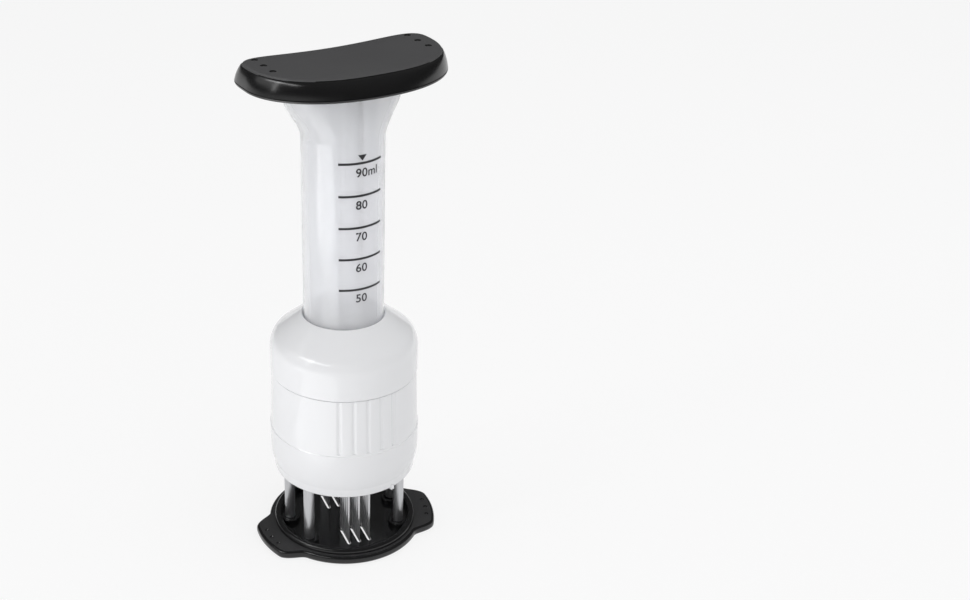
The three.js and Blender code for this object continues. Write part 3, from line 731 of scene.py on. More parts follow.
# Housing shell. The hand grip of the press: a drum in glossy white ABS with a belly at the
# foot, a slightly sunk band with upright grip grooves at the front and at the back, and
# a sloping shoulder that closes on the barrel. It is snapped down over the cover.
HOUSING_RADIUS = 31.8
HOUSING_SIDES = 240
SHELL_WALL = 2.3
SHELL_LIP = 1
BELLY_HEIGHT = 9.5
BELLY_POWER = 2.8
BELLY_STEPS = 12
BAND_RISE = 17.3
BAND_HEIGHT = 26
BAND_DEPTH = 0.3
BAND_ROUNDING = 0.35
BAND_SHADOW_LINE = 0.6
HOUSING_DRAFT = 0.7
SHOULDER_HEIGHT = 25.5
NECK_GAP = 0.3
NECK_WALL = 2
NECK_LIP = 0.5
SHOULDER_RADIUS = 9
SHOULDER_SLOPE = math.radians(38)
SHOULDER_STEPS = 14
GRIP_PITCH = math.radians(11.1)
GRIP_RIBS = 4
FLUTE_STEPS = 12
FLUTE_SHARE = 0.22
FLUTE_CUT = 0.42
RIB_DROP = 0.06
GRIP_END_SPACE = 0.6
BARREL_RADIUS = 16.75
COLLAR_BOTTOM = 74.0
COLLAR_HEIGHT = 2.4
COLLAR_GAP = 0.3
SHELL_CREASE = math.radians(24)
band_bottom = cover_high + BAND_RISE
band_top = band_bottom + BAND_HEIGHT
neck_top = band_top + SHOULDER_HEIGHT


def shoulder_points(radius, offset):
    """The rounded turn from the wall into the sloping shoulder, as (radius, height)."""
    lip_radius = BARREL_RADIUS + NECK_GAP + NECK_LIP
    end = QUARTER_TURN - SHOULDER_SLOPE
    end_radius = radius - SHOULDER_RADIUS + SHOULDER_RADIUS * math.cos(end)
    end_height = neck_top - (end_radius - lip_radius) * math.tan(SHOULDER_SLOPE)
    centre = end_height - SHOULDER_RADIUS * math.sin(end)
    arc = SHOULDER_RADIUS - offset
    points = []
    for i in range(SHOULDER_STEPS + 1):
        angle = end * i / SHOULDER_STEPS
        points.append((radius - SHOULDER_RADIUS + arc * math.cos(angle), centre + arc * math.sin(angle)))
    return points


def belly_points():
    """The wall from the narrower foot out to the full drum, as (radius, height)."""
    points = []
    for i in reversed(range(BELLY_STEPS + 1)):
        share = i / BELLY_STEPS
        radius = HOUSING_RADIUS - (HOUSING_RADIUS - RIM_RADIUS) * share ** BELLY_POWER
        points.append((radius, cover_high + BELLY_HEIGHT * (1 - share)))
    return points


neck_inner = BARREL_RADIUS + NECK_GAP
neck_outer = neck_inner + NECK_WALL
band_radius = HOUSING_RADIUS - BAND_DEPTH
inner_radius = HOUSING_RADIUS - SHELL_WALL
top_radius = HOUSING_RADIUS - HOUSING_DRAFT
collar_top = COLLAR_BOTTOM + COLLAR_HEIGHT
inner_shoulder = list(reversed(shoulder_points(top_radius, SHELL_WALL)))
neck_join = inner_shoulder[0][1] + (inner_shoulder[0][0] - neck_outer) * math.tan(SHOULDER_SLOPE)
shell_foot = [(RIM_RADIUS - SHELL_LIP, cover_high)] + belly_points()
shell_band = [
    (HOUSING_RADIUS, band_bottom - BAND_ROUNDING),
    (band_radius, band_bottom),
    (band_radius - HOUSING_DRAFT, band_top - BAND_SHADOW_LINE),
    (band_radius - HOUSING_DRAFT - BAND_SHADOW_LINE, band_top - BAND_SHADOW_LINE / 2),
    (band_radius - HOUSING_DRAFT - BAND_SHADOW_LINE, band_top),
    (top_radius, band_top),
]
shell_inside = [
    (neck_inner + NECK_LIP, neck_top),
    (neck_inner, neck_top - NECK_LIP),
    (neck_inner, collar_top + COLLAR_GAP),
    (neck_outer, collar_top + COLLAR_GAP),
    (neck_outer, neck_join),
] + inner_shoulder + [
    (inner_radius, cover_high + BELLY_HEIGHT),
    (RIM_RADIUS - SHELL_LIP, cover_high + BELLY_HEIGHT / 2),
]
shell_outside = shell_foot + shell_band + shoulder_points(top_radius, 0)
shell = turned("grip_shell", shell_outside + shell_inside, HOUSING_SIDES)


def grip_cutter(name, middle):
    """A cutter for one grip panel, which leaves flat upright ribs between round grooves."""
    rings = []
    for height, radius in (
        (band_bottom + GRIP_END_SPACE, band_radius),
        (band_top - GRIP_END_SPACE, band_radius - HOUSING_DRAFT),
    ):
        spots = []
        for groove in range(GRIP_RIBS + 1):
            for i in range(-FLUTE_STEPS, FLUTE_STEPS + 1):
                aside = i / FLUTE_STEPS
                drop = RIB_DROP + FLUTE_CUT * (1 + math.cos(math.pi * aside)) / 2
                along = groove - GRIP_RIBS / 2 + aside * FLUTE_SHARE
                spots.append((middle + along * GRIP_PITCH, radius - drop))
        spots += [(angle, radius + OVERRUN) for angle, _ in reversed(spots)]
        rings.append([(*spot_at(angle, reach), height) for angle, reach in spots])
    return stacked(name, rings)


worked(shell, "DIFFERENCE", grip_cutter("front_grip", 0), grip_cutter("back_grip", math.pi))
dressed(shell, "housing", "white_plastic", [white_plastic], "housing_shell", crease=SHELL_CREASE)


# Barrel. A clear acrylic tube, injection moulded and polished, with a collar that the
# housing holds. Its mouth flares along the handle, and has a filling window at the back.
BARREL_TURN = math.radians(9.5)
BARREL_SIDES = 180
BARREL_WALL = 1.37
COLLAR_WIDTH = 2.2
SEAT_GAP = 0.3
FLARE_HEIGHT = 23.9
FLARE_HALF_LENGTH = 26.5
FLARE_HALF_DEPTH = 17.9
FLARE_POWER = 1.5
FLARE_RINGS = 28
WINDOW_SILL = 9
WINDOW_SILL_HALF = 14.5
WINDOW_TOP_HALF = 17.5
WINDOW_CORNER = 2.5
MOUTH_ROUNDING = 0.35
CLEAR_CREASE = math.radians(40)
CLEAR_COLOUR = (0.915, 0.920, 0.932, 1)
CLEAR_SHADOW = (0.93, 0.93, 0.94, 1)
barrel_low, barrel_high = (corner.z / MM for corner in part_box("barrel"))
handle_bottom = barrel_high + SEAT_GAP
flare_start = handle_bottom - FLARE_HEIGHT


def mixed(tree, share, first, second):
    """Ends a material in a mix of two shaders."""
    mix = tree.nodes.new("ShaderNodeMixShader")
    wired(
        tree,
        (*share, mix, "Fac"),
        (first, 0, mix, 1),
        (second, 0, mix, 2),
        (mix, "Shader", tree.nodes["Material Output"], "Surface"),
    )


def clear_moulding(name, roughness, bending, clearness):
    """Clear plastic with a little haze, which lets the lamps' light through."""
    material, tree, surface = surface_of(name, {
        "Base Color": CLEAR_COLOUR, "Roughness": roughness,
        "IOR": bending, "Transmission Weight": clearness,
    })
    rays, passing = tree.nodes.new("ShaderNodeLightPath"), tree.nodes.new("ShaderNodeBsdfTransparent")
    passing.inputs["Color"].default_value = CLEAR_SHADOW
    mixed(tree, (rays, "Is Shadow Ray"), surface, passing)
    return material


clear_plastic = clear_moulding("clear_plastic", roughness=0.09, bending=1.42, clearness=0.72)


def barrel_ring(height, inset):
    """One ring of the barrel: round in the tube, longer along the handle in the flare."""
    share = min(1, max(0, (height - flare_start) / (barrel_high - flare_start)))
    spread = math.sin(QUARTER_TURN * share) ** FLARE_POWER
    half_length = BARREL_RADIUS + (FLARE_HALF_LENGTH - BARREL_RADIUS) * spread - inset
    half_depth = BARREL_RADIUS + (FLARE_HALF_DEPTH - BARREL_RADIUS) * spread - inset
    ring = []
    for i in range(BARREL_SIDES):
        angle = FULL_TURN * i / BARREL_SIDES
        ring.append((half_length * math.sin(angle), -half_depth * math.cos(angle), height))
    return ring


tube_heights = [barrel_low] + [
    flare_start + (barrel_high - flare_start) * i / FLARE_RINGS for i in range(FLARE_RINGS)
]
tube_outside = [barrel_ring(height, 0) for height in tube_heights]
tube_inside = [barrel_ring(height, BARREL_WALL) for height in reversed(tube_heights)]
tube_mouth = []
for step in range(2 * FILLET_STEPS + 1):
    angle = math.pi * step / (2 * FILLET_STEPS)
    inset = BARREL_WALL / 2 - (BARREL_WALL / 2 - MOUTH_ROUNDING) * math.copysign(1, math.cos(angle))
    inset -= MOUTH_ROUNDING * math.cos(angle)
    height = barrel_high - MOUTH_ROUNDING * (1 - math.sin(angle))
    tube_mouth.append(barrel_ring(height, inset))
tube = stacked("clear_barrel", tube_outside + tube_mouth + tube_inside, loop=True)
collar = turned("tube_collar", rounded([
    (BARREL_RADIUS - BARREL_WALL / 2, COLLAR_BOTTOM, 0),
    (BARREL_RADIUS + COLLAR_WIDTH, COLLAR_BOTTOM, SEAT_GAP),
    (BARREL_RADIUS + COLLAR_WIDTH, collar_top, SEAT_GAP),
    (BARREL_RADIUS - BARREL_WALL / 2, collar_top, 0),
]), BARREL_SIDES)
worked(tube, "UNION", collar)
sill = handle_bottom - WINDOW_SILL
window_outline = rounded([
    (-WINDOW_SILL_HALF, sill, WINDOW_CORNER),
    (WINDOW_SILL_HALF, sill, WINDOW_CORNER),
    (WINDOW_TOP_HALF, barrel_high + OVERRUN, 0),
    (-WINDOW_TOP_HALF, barrel_high + OVERRUN, 0),
])
window_depth = FLARE_HALF_DEPTH + OVERRUN
window = stacked("filling_window", [
    [(across, 0, up) for across, up in window_outline],
    [(across, window_depth, up) for across, up in window_outline],
])
worked(tube, "DIFFERENCE", window)
dressed(swung(tube, BARREL_TURN), "housing", "clear_plastic", [clear_plastic], "barrel", crease=CLEAR_CREASE)


# Printed scale. Black pad printing on the front of the barrel: a line and a number for
# every 10 ml from 50 to 90, and a small triangle that marks the highest filling.
MILLILITRE = 1000
MARK_MILLILITRES = 10
BORE_RADIUS = BARREL_RADIUS - BARREL_WALL
MARK_PITCH = MARK_MILLILITRES * MILLILITRE / (math.pi * BORE_RADIUS ** 2)
ZERO_RISE = 2.9
FIRST_MARK, LAST_MARK = 5, 9
PRINT_THICKNESS = 0.02
PRINT_RADIUS = BARREL_RADIUS + PRINT_THICKNESS
PRINT_CREASE = math.radians(60)
LINE_START = math.radians(-34.5)
LINE_END = math.radians(32.5)
LINE_WIDTH = 0.95
LINE_STEPS = 48
NUMBER_START = math.radians(-10.8)
NUMBER_SIZE = 5.0
NUMBER_DROP = 5.6
NUMBER_SPACING = 1.04
NUMBER_BOLD = 0.08
FILL_MARK_WIDTH = 3.6
FILL_MARK_HEIGHT = 2.4
FILL_MARK_RISE = 1.0
FILL_MARK_ANGLE = math.radians(-1.5)
FILL_MARK_SLOPE_SHARE = 0.96
print_ink = moulded(
    "print_ink", (0.015, 0.015, 0.017), (0.026, 0.026, 0.028),
    gloss=(0.4, 0.55), skin_scale=3000, skin_depth=0.001, specular=0.3, cloud_scale=900,
)
zero_height = barrel_low + ZERO_RISE


def wrapped(solid):
    """Bends a flat print, x along the curve and z up, round the front of the barrel."""
    for vertex in solid.data.vertices:
        angle = vertex.co.x / (BARREL_RADIUS * MM) + BARREL_TURN
        radius = PRINT_RADIUS * MM - vertex.co.y
        vertex.co = Vector((*spot_at(angle, radius), vertex.co.z))
    return solid


def print_strip(name, start, end, low, high, slope=0):
    """A thin printed strip round the barrel, whose lower edge may rise from its middle."""
    rings = []
    for step in range(LINE_STEPS + 1):
        along = start + (end - start) * step / LINE_STEPS
        rise = slope * abs(2 * step / LINE_STEPS - 1)
        front = [(along, 0, low + rise), (along, 0, high)]
        rings.append(front + [(along, -PRINT_THICKNESS, up) for along, _, up in reversed(front)])
    return wrapped(stacked(name, rings))


def print_number(name, text, height):
    """A printed number, set flat, made a mesh and bent round the barrel."""
    lettering = bpy.data.curves.new(name, "FONT")
    lettering.body = text
    lettering.size = NUMBER_SIZE * MM
    lettering.space_character = NUMBER_SPACING
    lettering.extrude = PRINT_THICKNESS / 2 * MM
    lettering.offset = NUMBER_BOLD * MM
    flat = placed(bpy.data.objects.new(name + "_flat", lettering))
    bpy.context.view_layer.update()
    mesh = bpy.data.meshes.new_from_object(flat.evaluated_get(bpy.context.evaluated_depsgraph_get()))
    bpy.data.objects.remove(flat)
    first = min(vertex.co.x for vertex in mesh.vertices)
    for vertex in mesh.vertices:
        across = vertex.co.x - first + NUMBER_START * BARREL_RADIUS * MM
        depth = -vertex.co.z - PRINT_THICKNESS / 2 * MM
        vertex.co = Vector((across, depth, vertex.co.y + height * MM))
    return wrapped(placed(bpy.data.objects.new(name, mesh)))


def printed(solid):
    """Gives a print its ink and lets it move with the barrel."""
    return dressed(solid, "housing", "clear_plastic", [print_ink], crease=PRINT_CREASE)


for mark in range(FIRST_MARK, LAST_MARK + 1):
    height = zero_height + mark * MARK_PITCH
    millilitres = mark * MARK_MILLILITRES
    printed(print_strip(
        f"scale_line_{millilitres}", LINE_START * BARREL_RADIUS, LINE_END * BARREL_RADIUS,
        height - LINE_WIDTH / 2, height + LINE_WIDTH / 2,
    ))
    text = f"{millilitres}ml" if mark == LAST_MARK else str(millilitres)
    printed(print_number(f"scale_number_{millilitres}", text, height - NUMBER_DROP))
fill_low = zero_height + LAST_MARK * MARK_PITCH + FILL_MARK_RISE
fill_middle = FILL_MARK_ANGLE * BARREL_RADIUS
printed(print_strip(
    "scale_fill_mark", fill_middle - FILL_MARK_WIDTH / 2, fill_middle + FILL_MARK_WIDTH / 2,
    fill_low, fill_low + FILL_MARK_HEIGHT, FILL_MARK_HEIGHT * FILL_MARK_SLOPE_SHARE,
))


# Plunger rod. A clear moulding with four thin vanes in a cross, which run down the barrel.
# A tenon at the top goes into the handle, a round spigot at the foot into the piston.
VANE_HALF_WIDTH = 15
VANE_THICKNESS = 1.8
VANE_ROUNDING = 0.4
TENON_HALF_WIDTH = 9
SPIGOT_RADIUS = 4
SPIGOT_LENGTH = 4.6
VANE_END_STEPS = 3
HANDLE_BOSS_HEIGHT = 4.6
rod_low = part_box("plunger_rod")[0].z / MM + SPIGOT_LENGTH
rod_high = handle_bottom - HANDLE_BOSS_HEIGHT - SEAT_GAP
tenon_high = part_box("plunger_rod")[1].z / MM
rod_plastic = clear_moulding("rod_plastic", roughness=0.22, bending=1.25, clearness=0.80)


def cross_outline(reach, rounding):
    """A cross of four vanes seen from above, with softened vane ends."""
    half = VANE_THICKNESS / 2
    corners = []
    for quarter in range(4):
        turn = Matrix.Rotation(QUARTER_TURN * quarter, 2)
        for x, y, radius in ((reach, -half, rounding), (reach, half, rounding), (half, half, rounding)):
            spot = turn @ Vector((x, y))
            corners.append((spot.x, spot.y, radius))
    return rounded(corners, VANE_END_STEPS)


rod = upright("clear_rod", [cross_outline(VANE_HALF_WIDTH, VANE_ROUNDING)], rod_low, rod_high)
rod_tenon = upright(
    "rod_tenon", [cross_outline(TENON_HALF_WIDTH, VANE_ROUNDING)], rod_high - OVERRUN, tenon_high
)
rod_spigot = upright(
    "rod_spigot", [circle_at(0, 0, SPIGOT_RADIUS)], rod_low - SPIGOT_LENGTH, rod_low + OVERRUN
)
worked(rod, "UNION", rod_tenon, rod_spigot)
dressed(
    swung(rod, BARREL_TURN), "plunger", "clear_plastic", [rod_plastic], "plunger_rod", crease=CLEAR_CREASE
)


# Piston. A milky polypropylene spool on the foot of the rod, with a silicone seal of two
# lips in its groove that wipes the bore. Both show through the barrel when it is drawn up.
PISTON_HEIGHT = 8.5
PISTON_DISC = 1.5
PISTON_TOP = 2
PISTON_CLEARANCE = 0.65
PISTON_HUB_RADIUS = 10
PISTON_ROUNDING = 0.3
RUNNING_GAP = 0.2
SEAL_CLEARANCE = 0.08
SEAL_WAIST = 0.9
SEAL_LIP = 1.1
SEAL_ROUNDING = 0.2
piston_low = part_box("piston_head")[0].z / MM
piston_high = piston_low + PISTON_HEIGHT
piston_radius = BORE_RADIUS - PISTON_CLEARANCE
piston = turned("piston_spool", rounded([
    (SPIGOT_RADIUS + SEAT_GAP / 2, piston_high - SPIGOT_LENGTH - SEAT_GAP, 0),
    (0, piston_high - SPIGOT_LENGTH - SEAT_GAP, 0),
    (0, piston_low, 0),
    (piston_radius, piston_low, PISTON_ROUNDING),
    (piston_radius, piston_low + PISTON_DISC, PISTON_ROUNDING),
    (PISTON_HUB_RADIUS, piston_low + PISTON_DISC, 0),
    (PISTON_HUB_RADIUS, piston_high - PISTON_TOP, 0),
    (piston_radius, piston_high - PISTON_TOP, PISTON_ROUNDING),
    (piston_radius, piston_high, PISTON_ROUNDING),
    (SPIGOT_RADIUS + SEAT_GAP / 2, piston_high, 0),
]), BARREL_SIDES)
dressed(piston, "plunger", "natural_plastic", [natural_plastic], "piston_head")
seal_low = piston_low + PISTON_DISC + RUNNING_GAP
seal_high = piston_high - PISTON_TOP - RUNNING_GAP
seal_radius = BORE_RADIUS - SEAL_CLEARANCE
seal = turned("piston_lip_seal", rounded([
    (PISTON_HUB_RADIUS + RUNNING_GAP, seal_low, 0),
    (seal_radius, seal_low, SEAL_ROUNDING),
    (seal_radius - SEAL_WAIST, seal_low + SEAL_LIP, SEAL_ROUNDING),
    (seal_radius - SEAL_WAIST, seal_high - SEAL_LIP, SEAL_ROUNDING),
    (seal_radius, seal_high, SEAL_ROUNDING),
    (PISTON_HUB_RADIUS + RUNNING_GAP, seal_high, 0),
]), BARREL_SIDES)
dressed(seal, "plunger", "silicone", [silicone], "piston_seal")


# Handle. A curved palm rest in black ABS: a glossy rim that leans in to a matt top face,
# bowed at the front and slightly hollow at the back, with three gate dimples at each end.
# It is a shell snapped onto a flat base, whose boss takes the tenon of the rod.
HANDLE_HEIGHT = 8.3
HANDLE_BASE_EDGE = 1.2
HANDLE_ROUNDING = 0.7
HANDLE_CREASE = math.radians(40)
HANDLE_STEPS = 72
HANDLE_WALL_STEPS = 4
BASE_EDGE_SHARE = 0.3
HANDLE_CROWN = 0.6
HANDLE_ACROSS = 6
HANDLE_RIM = {
    "half_length": 41.8, "middle": -2,
    "front": -32.2, "front_power": 2.2, "front_corner": 2,
    "back": 17, "back_power": 8, "back_corner": 4, "dent": 4.2,
}
HANDLE_FACE = {
    "half_length": 39.4, "middle": 2,
    "front": -28, "front_power": 2.8, "front_corner": 2.3,
    "back": 12, "back_power": 8, "back_corner": 3, "dent": 2.4,
}
HANDLE_MIDDLE_SHARE = 0.22
HANDLE_SHOULDER_SHARE = 0.62
HANDLE_BOSS_RADIUS = 13
HANDLE_BOSS_ROUNDING = 0.6
HANDLE_DIMPLE_RADIUS = 1.4
HANDLE_DIMPLE_DEPTH = 0.5
HANDLE_DIMPLE_PITCH = 8
HANDLE_DIMPLE_INSET = 6.2
HANDLE_DIMPLE_MIDDLE = 0
handle_gloss = moulded(
    "handle_gloss", (0.005, 0.005, 0.0053), (0.008, 0.008, 0.0083),
    gloss=(0.16, 0.26), skin_scale=2200, skin_depth=0.0015, specular=0.6,
)
handle_matt = moulded(
    "handle_matt", (0.070, 0.070, 0.072), (0.082, 0.082, 0.084),
    gloss=(0.50, 0.62), skin_scale=2400, skin_depth=0.010, specular=0.4, cloud_scale=30,
)


def handle_sides(form, inset, height, crown=0):
    """Front and back edges of the handle at one height, both from the left end to the right."""
    half_length = form["half_length"] - inset
    edges = []
    for edge, sign, dent in (("front", 1, 0), ("back", -1, form["dent"])):
        reach = form[edge] + sign * inset
        points = []
        for i in range(HANDLE_STEPS + 1):
            share = math.sin(QUARTER_TURN * (2 * i / HANDLE_STEPS - 1))
            bow = max(0, 1 - abs(share) ** form[edge + "_power"]) ** (1 / form[edge + "_corner"])
            hollow = dent * (1 - share ** 2) ** 2
            x = half_length * share
            y = form["middle"] + (reach - form["middle"]) * bow - hollow
            points.append((x, y, height + crown * (x / HANDLE_FACE["half_length"]) ** 2))
        edges.append(points)
    return edges


def handle_outline(form, inset, height, crown=0):
    """The whole outline of the handle at one height, front edge first."""
    front, back = handle_sides(form, inset, height, crown)
    return front[:-1] + list(reversed(back))[:-1]


def blended_form(share):
    """A form between the handle's rim and its face."""
    return {key: HANDLE_RIM[key] + (HANDLE_FACE[key] - HANDLE_RIM[key]) * share for key in HANDLE_RIM}


def eased(knots, steps):
    """Smooth in-between values through rows of numbers, for a wall without creases."""
    rows = []
    for i in range(len(knots) - 1):
        a, b = knots[max(0, i - 1)], knots[i]
        c, d = knots[i + 1], knots[min(len(knots) - 1, i + 2)]
        for step in range(steps):
            t = step / steps
            row = []
            for p, q, r, s in zip(a, b, c, d):
                bend, twist = (2 * p - 5 * q + 4 * r - s) / 2, t * (3 * q - p - 3 * r + s) / 2
                row.append(q + t * ((r - p) / 2 + t * (bend + twist)))
            rows.append(row)
    rows.append(list(knots[-1]))
    return rows


handle_top = handle_bottom + HANDLE_HEIGHT
seam = handle_bottom + HANDLE_BASE_EDGE
shoulder_height = handle_top - HANDLE_ROUNDING * 2
wall_knots = [
    (seam + RUNNING_GAP, 0),
    ((seam + shoulder_height) / 2, HANDLE_MIDDLE_SHARE),
    (shoulder_height, HANDLE_SHOULDER_SHARE),
    (handle_top - HANDLE_ROUNDING, 1),
]
cap_rings = [handle_outline(HANDLE_RIM, RUNNING_GAP, seam)]
for height, share in eased(wall_knots, HANDLE_WALL_STEPS):
    lift = HANDLE_CROWN * max(0, (height - shoulder_height) / HANDLE_ROUNDING)
    cap_rings.append(handle_outline(blended_form(share), 0, height, lift))
for step in range(1, FILLET_STEPS + 1):
    angle = QUARTER_TURN * step / FILLET_STEPS
    inset = HANDLE_ROUNDING * (1 - math.cos(angle))
    height = handle_top - HANDLE_ROUNDING * (1 - math.sin(angle))
    cap_rings.append(handle_outline(HANDLE_FACE, inset, height, HANDLE_CROWN))


def handle_cap_mesh():
    """The rim as stacked outlines, closed below by a flat face and above by a fine net."""
    count = len(cap_rings[0])
    points = [point for ring in cap_rings for point in ring]
    faces = wall_faces(count, len(cap_rings))
    faces.append(tuple(reversed(range(count))))
    front, back = handle_sides(HANDLE_FACE, HANDLE_ROUNDING, handle_top, HANDLE_CROWN)
    first = len(points)
    for start, end in zip(front, back):
        for step in range(HANDLE_ACROSS + 1):
            points.append(tuple(Vector(start).lerp(Vector(end), step / HANDLE_ACROSS)))
    row = HANDLE_ACROSS + 1
    for i in range(HANDLE_STEPS):
        for step in range(HANDLE_ACROSS):
            here = first + i * row + step
            faces.append((here, here + row, here + row + 1, here + 1))
    return solid_of("palm_cap", points, faces)


cap = handle_cap_mesh()
dimple_reach = HANDLE_FACE["half_length"] - HANDLE_DIMPLE_INSET
dimple_places = [
    (side * dimple_reach, HANDLE_DIMPLE_MIDDLE + step * HANDLE_DIMPLE_PITCH)
    for side in (-1, 1) for step in (-1, 0, 1)
]
dimple_rise = HANDLE_CROWN * (dimple_reach / HANDLE_FACE["half_length"]) ** 2
dimple_cup = cup_profile(HANDLE_DIMPLE_RADIUS, HANDLE_DIMPLE_DEPTH, handle_top + dimple_rise)
cap_dimples = [
    turned(f"cap_dimple_{i}", dimple_cup, SMALL_SIDES, x, y) for i, (x, y) in enumerate(dimple_places)
]
worked(cap, "DIFFERENCE", *cap_dimples)
dressed(
    swung(cap, BARREL_TURN), "plunger", "black_plastic",
    [handle_gloss, handle_matt], "handle_shell", crease=HANDLE_CREASE,
)
matt_height = (handle_top - HANDLE_ROUNDING / 2) * MM
dimple_spots = [Matrix.Rotation(BARREL_TURN, 2) @ Vector(place) * MM for place in dimple_places]
dimple_middle = (handle_top + dimple_rise - HANDLE_DIMPLE_DEPTH / 2) * MM
for face in cap.data.polygons:
    lowest = min(cap.data.vertices[i].co.z for i in face.vertices)
    aside = min((face.center.xy - spot).length for spot in dimple_spots)
    dimple_wall = aside < HANDLE_DIMPLE_RADIUS * MM and lowest < dimple_middle and face.normal.z < LEVEL_FACE
    face.material_index = 1 if face.center.z > matt_height and not dimple_wall else 0

base_edge = HANDLE_ROUNDING * BASE_EDGE_SHARE
base = stacked("palm_base", [
    handle_outline(HANDLE_RIM, HANDLE_ROUNDING, handle_bottom),
    handle_outline(HANDLE_RIM, base_edge, handle_bottom + base_edge),
    handle_outline(HANDLE_RIM, 0, handle_bottom + HANDLE_ROUNDING),
    handle_outline(HANDLE_RIM, 0, seam - RUNNING_GAP),
    handle_outline(HANDLE_RIM, RUNNING_GAP, seam),
])
boss = turned("base_boss", rounded([
    (0, handle_bottom - HANDLE_BOSS_HEIGHT, 0),
    (HANDLE_BOSS_RADIUS, handle_bottom - HANDLE_BOSS_HEIGHT, HANDLE_BOSS_ROUNDING),
    (HANDLE_BOSS_RADIUS, handle_bottom + HANDLE_ROUNDING, 0),
    (0, handle_bottom + HANDLE_ROUNDING, 0),
]))
worked(base, "UNION", boss)
tenon_gap = (VANE_THICKNESS / 2 + SEAT_GAP) / (VANE_THICKNESS / 2)
tenon_outline = cross_outline(TENON_HALF_WIDTH / tenon_gap + SEAT_GAP, 0)
socket_outline = [(x * tenon_gap, y * tenon_gap) for x, y in tenon_outline]
socket_low = handle_bottom - HANDLE_BOSS_HEIGHT - OVERRUN
socket = upright("base_socket", [socket_outline], socket_low, seam - SEAT_GAP)
worked(base, "DIFFERENCE", socket)
dressed(swung(base, BARREL_TURN), "plunger", "black_plastic", [handle_gloss], "handle_base")


# Studio. A wide flat white floor, a pale sky, soft panels above, in front and to the left,
# one for the gloss of edges only, and two low ones that face up, for the upright bright
# bands. Lengths are in metres here.
FLOOR_HALF = 6.0
FLOOR_LEVEL = -0.0002
FLOOR_COLOUR = (0.86, 0.86, 0.865, 1)
FLOOR_ROUGHNESS = 0.9
FLOOR_LIFT = 0.8
SKY_STRENGTH = 0.55
GLOSS_LOW = 0.04
GLOSS_HIGH = 0.13
GLOSS_HEIGHT = 0.7
BACKDROP_WHITE = 0.95


def seen_by(tree, rays, *kinds):
    """Node and output that are 1 for any of these kinds of ray."""
    source = (rays, f"Is {kinds[0]} Ray")
    for kind in kinds[1:]:
        most = tree.nodes.new("ShaderNodeMath")
        most.operation = "MAXIMUM"
        wired(tree, (*source, most, 0), (rays, f"Is {kind} Ray", most, 1))
        source = (most, "Value")
    return source


def make_floor_white():
    """Matt white that is lifted to the white of the backdrop where the camera sees it."""
    material, tree, surface = surface_of("floor_white", {
        "Base Color": FLOOR_COLOUR, "Roughness": FLOOR_ROUGHNESS, "Specular IOR Level": 0,
    })
    rays, white = tree.nodes.new("ShaderNodeLightPath"), tree.nodes.new("ShaderNodeEmission")
    lift = tree.nodes.new("ShaderNodeMath")
    lift.operation = "MULTIPLY"
    lift.inputs[1].default_value = FLOOR_LIFT
    wired(tree, (*seen_by(tree, rays, "Camera", "Glossy", "Transmission"), lift, 0))
    mixed(tree, (lift, "Value"), surface, white)
    return material


floor_mesh = bpy.data.meshes.new("floor")
corners = [(x * FLOOR_HALF, y * FLOOR_HALF, FLOOR_LEVEL) for x, y in ((-1, -1), (1, -1), (1, 1), (-1, 1))]
floor_mesh.from_pydata(corners, [], [(0, 1, 2, 3)])
floor_mesh.materials.append(make_floor_white())
floor = placed(bpy.data.objects.new("floor", floor_mesh))


def make_pale_sky():
    """A pale sky: plain light on the object, darker low down for gloss, white behind it."""
    sky = bpy.data.worlds.new("pale_sky")
    sky.use_nodes = True
    tree = sky.node_tree
    background = tree.nodes["Background"]
    rays, place, parts, height, gloss, behind = (
        tree.nodes.new("ShaderNode" + kind)
        for kind in ("LightPath", "TexCoord", "SeparateXYZ", "MapRange", "Mix", "Mix")
    )
    for node, socket, value in (
        (background, "Color", (1, 1, 1, 1)),
        (height, "From Max", GLOSS_HEIGHT),
        (height, "To Min", GLOSS_LOW),
        (height, "To Max", GLOSS_HIGH),
        (gloss, "A", SKY_STRENGTH),
        (behind, "B", BACKDROP_WHITE),
    ):
        node.inputs[socket].default_value = value
    wired(
        tree,
        (place, "Generated", parts, "Vector"),
        (parts, "Z", height, "Value"),
        (rays, "Is Glossy Ray", gloss, "Factor"),
        (height, "Result", gloss, "B"),
        (*seen_by(tree, rays, "Camera", "Transmission"), behind, "Factor"),
        (gloss, "Result", behind, "A"),
        (behind, "Result", background, "Strength"),
    )
    return sky


bpy.context.scene.world = make_pale_sky()

VIEW_AZIMUTH = math.radians(-18.5)
LOW_HEIGHT = 0.002


def soft_panel(name, azimuth, distance, height, size, brightness, aim=None):
    """A soft panel at an azimuth from the camera's, its brightness as its own radiance.

    It looks at the height aim on the object's axis, or straight up where none is given.
    """
    width, length = size
    lamp = bpy.data.lights.new(name, "AREA")
    lamp.shape = "RECTANGLE"
    lamp.size, lamp.size_y = width, length
    lamp.energy = brightness * math.pi * width * length
    panel = placed(bpy.data.objects.new(name, lamp))
    turn = VIEW_AZIMUTH + math.radians(azimuth)
    panel.location = (*spot_at(turn, distance), height)
    panel.rotation_euler = (math.pi, 0, turn)
    if aim is not None:
        towards = Vector((0, 0, aim)) - panel.location
        panel.rotation_euler = towards.to_track_quat("-Z", "Y").to_euler()
    panel.visible_camera = False
    return panel


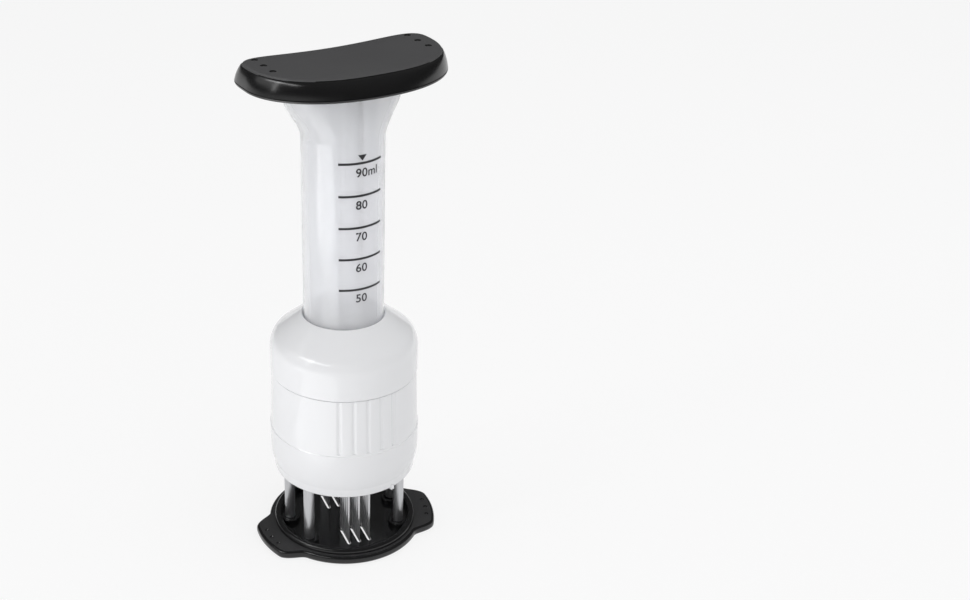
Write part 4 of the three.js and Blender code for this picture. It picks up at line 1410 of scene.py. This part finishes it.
top_panel = soft_panel("top_panel", 70, 0.6, 1.2, size=(1.3, 1.3), brightness=0.98, aim=0.1)
top_panel.visible_glossy = False
front_panel = soft_panel("front_panel", 20, 1.2, 0.9, size=(0.8, 0.8), brightness=0.75, aim=0.1)
front_panel.visible_glossy = False
soft_panel("left_panel", -80, 1.0, 0.75, size=(0.8, 0.8), brightness=0.78, aim=0.12)
soft_panel("left_strip", -58, 0.9, 0.62, size=(0.09, 0.7), brightness=4.5, aim=0.1)
edge_panel = soft_panel("edge_panel", -52, 0.8, 0.72, size=(0.9, 0.16), brightness=5, aim=0.02)
edge_panel.visible_diffuse = False
soft_panel("grip_panel", -36, 0.18, LOW_HEIGHT, size=(0.16, 0.16), brightness=1.35)
soft_panel("tube_panel", -50, 0.34, LOW_HEIGHT, size=(0.30, 0.16), brightness=2.6)


# Camera. It looks down at the front from the left, as in the photograph, whose optical
# axis lies left of the middle of the frame. That is the whole of the shift.
CAMERA_TARGET = Vector((0, 0, 0.110))
CAMERA_DISTANCE = 0.595
CAMERA_ELEVATION = math.radians(26.76)
CAMERA_YAW = math.radians(0.742)
CAMERA_ROLL = math.radians(-0.256)
CAMERA_SENSOR = 36
CAMERA_FOCUS_PIXELS = 1439
FRAME_WIDTH_PIXELS = 970
AXIS_OFFSET_PIXELS = 160
CLIP_NEAR, CLIP_FAR = 0.01, 50
back = Vector((*spot_at(VIEW_AZIMUTH, math.cos(CAMERA_ELEVATION)), math.sin(CAMERA_ELEVATION)))
lens = bpy.data.cameras.new("photo_camera")
lens.sensor_width = CAMERA_SENSOR
lens.lens = CAMERA_FOCUS_PIXELS * CAMERA_SENSOR / FRAME_WIDTH_PIXELS
lens.shift_x = AXIS_OFFSET_PIXELS / FRAME_WIDTH_PIXELS
lens.clip_start, lens.clip_end = CLIP_NEAR, CLIP_FAR
camera = placed(bpy.data.objects.new("photo_camera", lens))
camera.location = CAMERA_TARGET + back * CAMERA_DISTANCE
facing = (-back).to_track_quat("-Z", "Y").to_matrix()
local = Euler((0, CAMERA_YAW, 0)).to_matrix() @ Euler((0, 0, CAMERA_ROLL)).to_matrix()
camera.rotation_euler = (facing @ local).to_euler()
bpy.context.scene.camera = camera
bpy.context.scene.view_settings.view_transform = "Standard"
